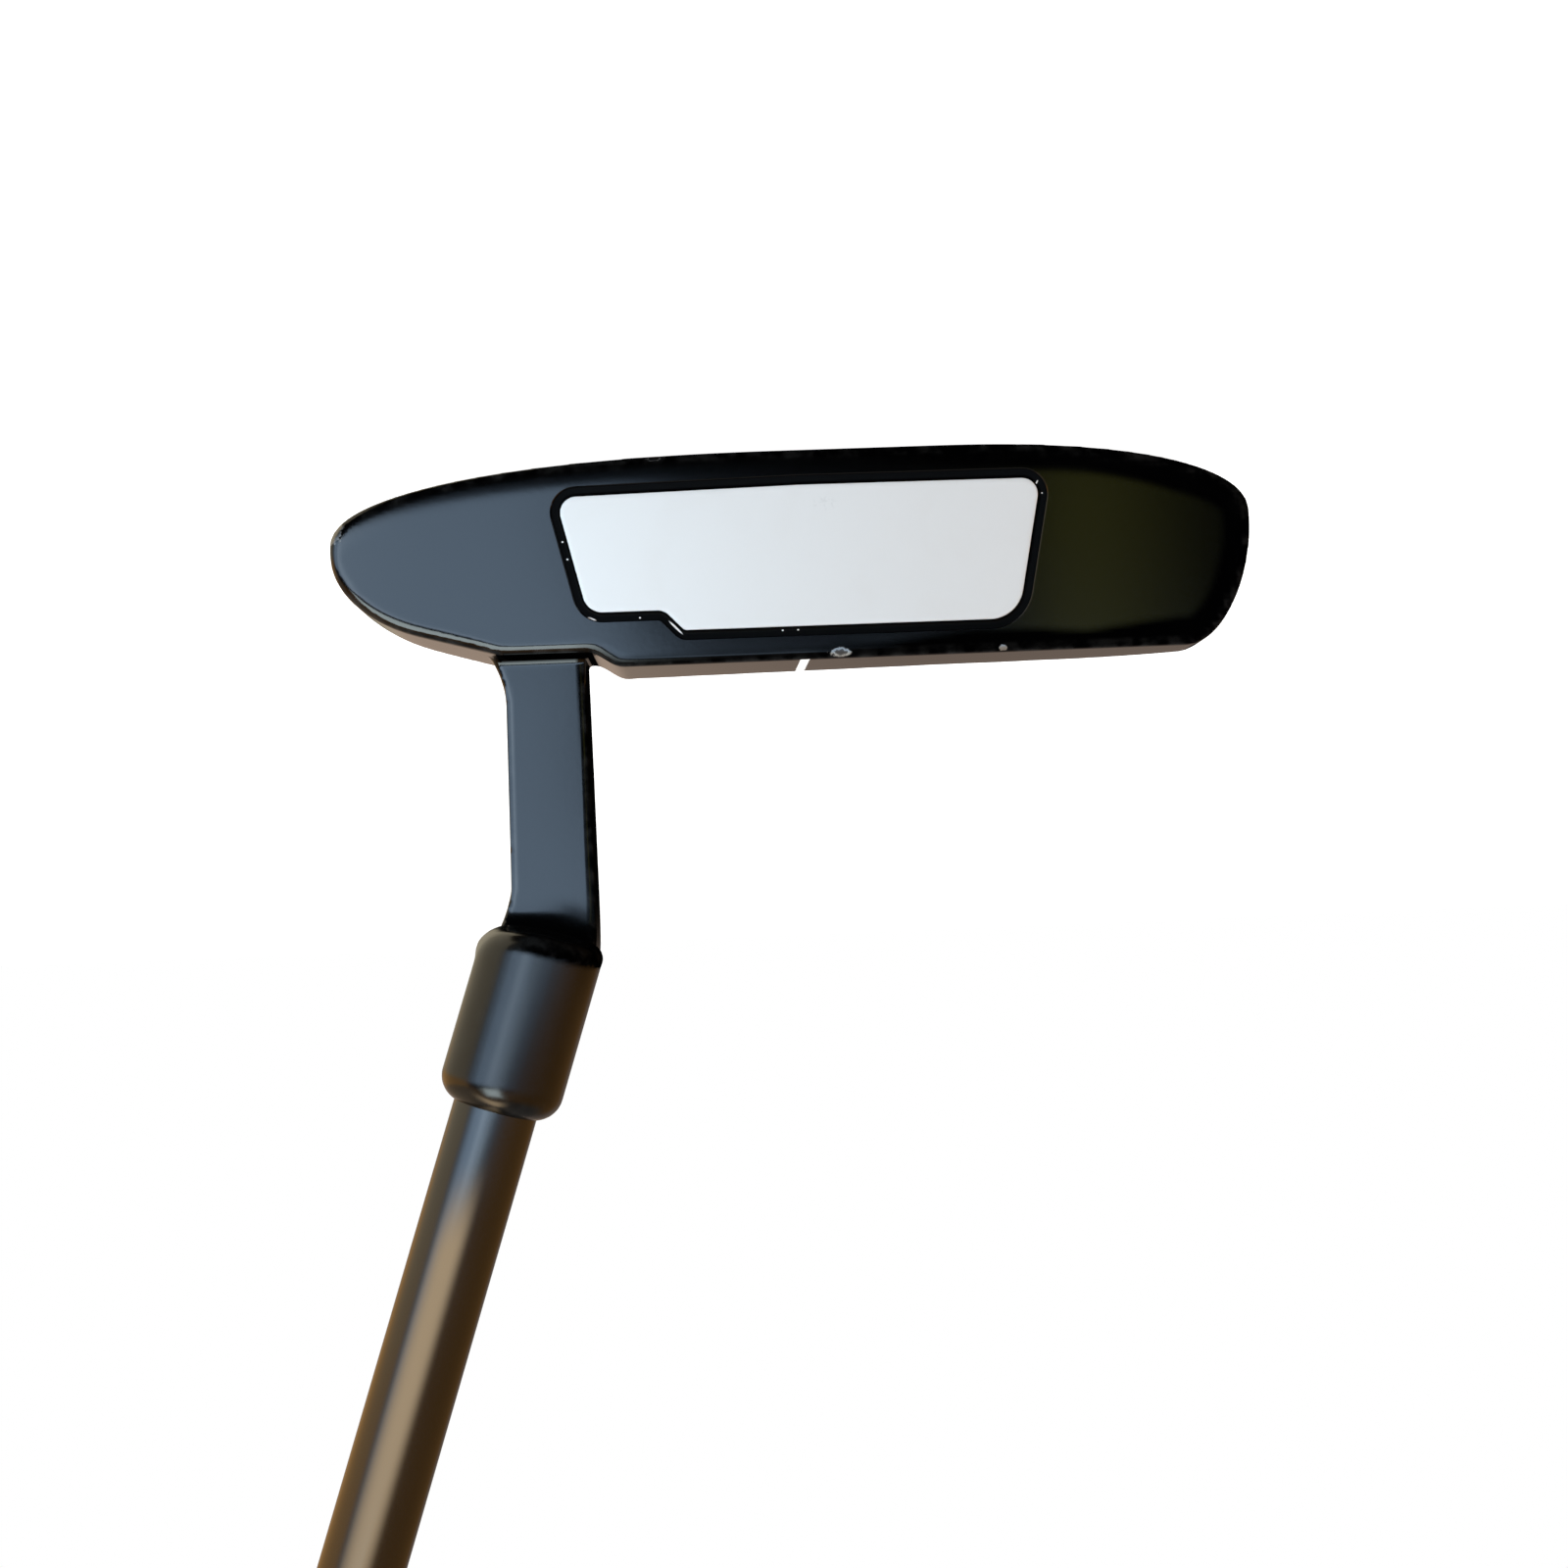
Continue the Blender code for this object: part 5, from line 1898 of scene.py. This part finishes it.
@dataclass
class Studio:
    """The floor, the surroundings that the paint reflects, the lamps and the camera.

    The camera and the card are placed in millimetres, the surroundings in degrees, and the lamps in metres.
    """

    eye: Point3 = (9.01, -232.9, 57.02)
    azimuth: float = math.radians(-1.5)
    elevation: float = math.radians(4.5)
    roll: float = math.radians(2.3)
    focal_px: float = 2000.0
    frame_px: float = 1600.0
    sensor_mm: float = 36.0
    behind_heel: Colour = (0.54, 0.41, 0.32)
    behind_toe: Colour = (0.28, 0.215, 0.175)
    heel_low: Colour = (0.62, 0.55, 0.4)
    heel_high: Colour = (0.85, 0.47, 0.17)
    heel_top: Colour = (0.4, 0.3, 0.2)
    toe_high: Colour = (0.31, 0.16, 0.05)
    ceiling: Colour = (0.14, 0.13, 0.12)
    shade: Colour = (0.001, 0.001, 0.001)
    olive: Colour = (0.36, 0.36, 0.07)
    window: Colour = (1.22, 1.7, 2.3)
    bright_window: Colour = (1.9, 2.5, 3.2)
    warm_card: Colour = (3.28, 2.44, 1.5)
    lamp: Colour = (3.4, 4.0, 4.1)
    back_wall: Panel = Panel((140.0, 260.0), (2.0, 120.0), 10.0)
    back_strip: Panel = Panel((155.0, 190.0), (-4.0, 8.0), 9.0)
    toe_sky: Panel = Panel((-150.0, 80.0), (14.0, 120.0), 12.0)
    toe_wall: Panel = Panel((-150.0, -55.0), (5.0, 120.0), 10.0)
    heel_wall: Panel = Panel((62.0, 150.0), (-60.0, 120.0), 9.0)
    heel_foot: Panel = Panel((148.0, 167.0), (-60.0, -1.0), 3.0)
    olive_strip: Panel = Panel((-60.0, 60.0), (-8.0, 2.0), 4.0)
    bright_pane: Panel = Panel((13.0, 26.0), (-60.0, 60.0), 4.0)
    top_pane: Panel = Panel((-10.0, 26.0), (2.2, 4.6), 4.0)
    lamp_pane: Panel = Panel((2.3, 34.0), (12.0, 38.0), 1.5)
    behind_turn: Point2 = (0.17, -0.1)
    heel_low_to_high: Point2 = (-9.0, -2.0)
    heel_high_to_top: Point2 = (8.0, 16.0)
    ceiling_from: Point2 = (40.0, 65.0)
    olive_start: Point2 = (-8.8, -9.6)
    olive_fade: Point2 = (-14.4, -9.4)
    window_bow: Point3 = (-0.073, -0.85, 1.12)
    window_bow_edge: Point2 = (-0.7, 0.9)
    window_lift: float = 5.0
    window_heel: Point2 = (70.0, 36.0)
    window_heel_shift: Point2 = (2.5, 8.0)
    window_line_side: float = 9.0
    window_head: Point2 = (6.2, -0.1)
    window_head_edge: Point2 = (1.6, -1.0)
    window_sill: Point2 = (-10.5, -0.2)
    window_sill_edge: Point2 = (-1.0, 1.0)
    window_top: Point2 = (15.5, 11.5)
    card_y: float = -25.7
    card_sides: Point2 = (24.0, 110.0)
    card_heights: Point2 = (74.0, 220.0)
    card_toe_edge: Point2 = (4.1, 11.5)
    card_heel_edge: Point2 = (30.7, 14.7)
    card_foot: float = 95.8
    card_foot_edge: Point2 = (-8.0, 3.0)
    card_foot_slope: float = 0.2
    card_fade: Point2 = (210.0, 100.0)
    floor_reach: float = 30.0
    floor_drop: float = 0.0002
    floor_colour: Colour = (0.4, 0.4, 0.4)
    white: Colour = (1.0, 1.0, 1.0)
    softboxes: tuple[Softbox, ...] = (
        Softbox("heel_softbox", (0.09, -0.075, 0.04), (0.0, 0.0, 0.012), 0.05, 0.074, (0.7, 0.88, 1.0)),
        Softbox("toe_softbox", (-0.3, -0.4, 0.05), (0.0, 0.0, 0.012), 0.2, 0.7, (1.0, 0.62, 0.32)),
        Softbox("top_softbox", (0.0, 0.05, 0.4), (0.0, 0.0, 0.02), 0.1, 1.0, (1.0, 1.0, 1.0)),
        Softbox("back_softbox", (0.1, 1.0, 1.3), (0.1, 0.0, 0.35), 1.0, 22.0, (0.95, 0.98, 1.0)),
    )

    @staticmethod
    def sheet(name: str, corners: Sequence[Point3],
              paint: str) -> tuple[bpy.types.Object, bpy.types.Material]:
        """Hangs a flat sheet that casts no shadow and lights no diffuse surface.

        Args:
            name: Name of the sheet.
            corners: Its four corners, in metres.
            paint: Name of its material.

        Returns:
            The sheet, and its material.
        """
        mesh = bpy.data.meshes.new(name)
        mesh.from_pydata(corners, [], [(0, 1, 2, 3)])
        sheet = bpy.data.objects.new(name, mesh)
        bpy.context.scene.collection.objects.link(sheet)
        material = bpy.data.materials.new(paint)
        material.use_nodes = True
        mesh.materials.append(material)
        sheet.visible_diffuse = False
        sheet.visible_shadow = False
        return sheet, material

    def floor(self) -> None:
        """Lays the floor, which the reflections leave out."""
        reach = self.floor_reach
        corners = [(-reach, -reach, 0.0), (reach, -reach, 0.0), (reach, reach, 0.0), (-reach, reach, 0.0)]
        floor, material = self.sheet("floor", corners, "pale_floor")
        floor.location.z = -self.floor_drop
        Graph(material.node_tree).feed(material.node_tree.nodes["Principled BSDF"], {
            "Base Color": self.floor_colour, "Roughness": 1.0, "Specular IOR Level": 0.0,
            "Emission Color": self.white, "Emission Strength": 1.0,
        })
        floor.visible_glossy = False

    def card(self) -> None:
        """Hangs the warm card in front of the shaft, which only its reflection shows."""
        (left, right), (foot, top) = self.card_sides, self.card_heights
        corners = [(left, foot), (right, foot), (right, top), (left, top)]
        places = [(x * MM, self.card_y * MM, z * MM) for x, z in corners]
        card, material = self.sheet("warm_card", places, "warm_card")
        material.node_tree.nodes.clear()
        graph = Graph(material.node_tree)
        place = graph.parts(graph.millimetres())
        aside = graph.math("MULTIPLY_ADD", place["Z"], -STANCE.lean[0] / STANCE.lean[1], place["X"])
        above = graph.math("MULTIPLY_ADD", place["X"], self.card_foot_slope, place["Z"])
        mask = graph.product(
            graph.step(aside, *self.card_toe_edge),
            graph.step(aside, *self.card_heel_edge),
            graph.step(above, *(self.card_foot + offset for offset in self.card_foot_edge)),
            graph.step(place["Z"], *self.card_fade),
        )
        glow = graph.node("ShaderNodeEmission", {"Color": self.warm_card}).outputs[0]
        clear = graph.node("ShaderNodeBsdfTransparent").outputs[0]
        shown = graph.node("ShaderNodeMixShader", {0: mask, 1: clear, 2: glow}).outputs[0]
        graph.node("ShaderNodeOutputMaterial", {"Surface": shown})
        card.visible_camera = False
        card.visible_transmission = False

    def walls(self, graph: Graph, heelward: Any, side: Any, up: Any) -> bpy.types.NodeSocket:
        """Paints the walls and the ceiling.

        Args:
            graph: The world's tree.
            heelward: How far a direction points to the heel.
            side: Degrees from straight in front towards the heel.
            up: Degrees above level.

        Returns:
            Their colour.
        """
        behind = graph.mix(graph.step(heelward, *self.behind_turn), self.behind_heel, self.behind_toe)
        heel = graph.mix(graph.step(up, *self.heel_low_to_high), self.heel_low, self.heel_high)
        heel = graph.mix(graph.step(up, *self.heel_high_to_top), heel, self.heel_top)
        colour = graph.mix(self.back_wall.mask(graph, graph.math("ABSOLUTE", side), up), self.shade, behind)
        for panel, paint in (
            (self.back_strip, behind),
            (self.toe_sky, self.toe_high),
            (self.toe_wall, self.toe_high),
            (self.heel_wall, heel),
            (self.heel_foot, self.heel_low),
        ):
            colour = graph.mix(panel.mask(graph, side, up), colour, paint)
        colour = graph.mix(graph.step(up, *self.ceiling_from), colour, self.ceiling)
        strip = graph.product(graph.step(side, *self.olive_start), graph.step(side, *self.olive_fade))
        return graph.mix(graph.product(strip, self.olive_strip.mask(graph, side, up)), colour, self.olive)

    def window_shape(self, graph: Graph, side: Any, up: Any) -> bpy.types.NodeSocket:
        """Masks the window, whose toe edge is bowed and whose head and sill slope.

        Args:
            graph: The world's tree.
            side: Degrees from straight in front towards the heel.
            up: Degrees above level.

        Returns:
            1 inside the window, 0 outside.
        """
        bend, slope, start = self.window_bow
        bow = graph.math("MULTIPLY_ADD", graph.math("MULTIPLY_ADD", up, bend, slope), up, start)
        raised = graph.math("MAXIMUM", up, 0.0)
        inside = graph.math("MULTIPLY_ADD", raised, self.window_lift, graph.math("SUBTRACT", side, bow))
        most, rate = self.window_heel_shift
        shift = graph.product(graph.math("MINIMUM", raised, most), rate)
        return graph.product(
            graph.step(inside, *self.window_bow_edge),
            graph.step(graph.math("ADD", side, shift), *self.window_heel),
            graph.step(self.above(graph, side, up, self.window_head), *self.window_head_edge),
            graph.step(self.above(graph, side, up, self.window_sill), *self.window_sill_edge),
            graph.step(up, *self.window_top),
        )

    def above(self, graph: Graph, side: Any, up: Any, line: Point2) -> bpy.types.NodeSocket:
        """Gives the degrees above a sloping line.

        Args:
            graph: The world's tree.
            side: Degrees from straight in front towards the heel.
            up: Degrees above level.
            line: The line's height at window_line_side, and its rise per degree towards the heel.

        Returns:
            The difference in degrees.
        """
        level, slope = line
        offset = graph.math("ADD", up, self.window_line_side * slope - level)
        return graph.math("MULTIPLY_ADD", side, -slope, offset)

    def surroundings(self) -> None:
        """Paints what the club reflects; the camera itself sees white."""
        world = bpy.data.worlds.new("studio")
        bpy.context.scene.world = world
        world.use_nodes = True
        graph = Graph(world.node_tree)
        world.node_tree.nodes.clear()
        toward = graph.parts(graph.node("ShaderNodeTexCoord").outputs["Generated"])
        degrees = 180.0 / math.pi
        side = graph.math("ARCTAN2", toward["X"], graph.product(toward["Y"], -1.0))
        side = graph.product(side, degrees)
        up = graph.product(graph.math("ARCSINE", toward["Z"]), degrees)
        pane = graph.mix(self.bright_pane.mask(graph, side, up), self.window, self.bright_window)
        pane = graph.mix(self.top_pane.mask(graph, side, up), pane, self.bright_window)
        walls = self.walls(graph, toward["X"], side, up)
        colour = graph.mix(self.window_shape(graph, side, up), walls, pane)
        colour = graph.mix(self.lamp_pane.mask(graph, side, up), colour, self.lamp)
        seen = graph.node("ShaderNodeLightPath").outputs["Is Camera Ray"]
        shown = graph.node("ShaderNodeBackground", {"Color": graph.mix(seen, colour, self.white)})
        graph.node("ShaderNodeOutputWorld", {"Surface": shown.outputs[0]})

    def camera(self) -> None:
        """Stands the camera where the head is seen sole up, from in front and a little above."""
        level, fall = math.cos(self.elevation), math.sin(self.elevation)
        ahead = Vector((math.sin(self.azimuth) * level, math.cos(self.azimuth) * level, -fall))
        over = (Vector((0, 0, 1)) - ahead * ahead.z).normalized()
        aside = -ahead.cross(over)
        right = aside * math.cos(self.roll) + over * math.sin(self.roll)
        down = over * math.cos(self.roll) - aside * math.sin(self.roll)
        lens = bpy.data.cameras.new("camera")
        lens.sensor_width = self.sensor_mm
        lens.lens = self.sensor_mm * self.focal_px / self.frame_px
        lens.clip_start = 0.01
        camera = bpy.data.objects.new("camera", lens)
        place = Matrix((right, -down, -ahead)).transposed().to_4x4()
        place.translation = Vector(self.eye) * MM
        camera.matrix_world = place
        bpy.context.scene.collection.objects.link(camera)
        bpy.context.scene.camera = camera

    def build(self) -> None:
        """Sets up the studio."""
        self.floor()
        self.card()
        self.surroundings()
        for softbox in self.softboxes:
            softbox.build()
        self.camera()
        bpy.context.scene.view_settings.view_transform = "Standard"


def main() -> None:
    """Builds the studio and the club, piece by piece."""
    logging.basicConfig(level=logging.INFO, format="%(message)s")
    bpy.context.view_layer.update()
    Studio().build()
    shape = InsertShape()
    PutterHead(shape).build()
    FaceInsert(shape).build()
    AimMark().build()
    Shaft().build()
    Grip().build()
    InnerPieces().build()


if __name__ == "__main__":
    main()
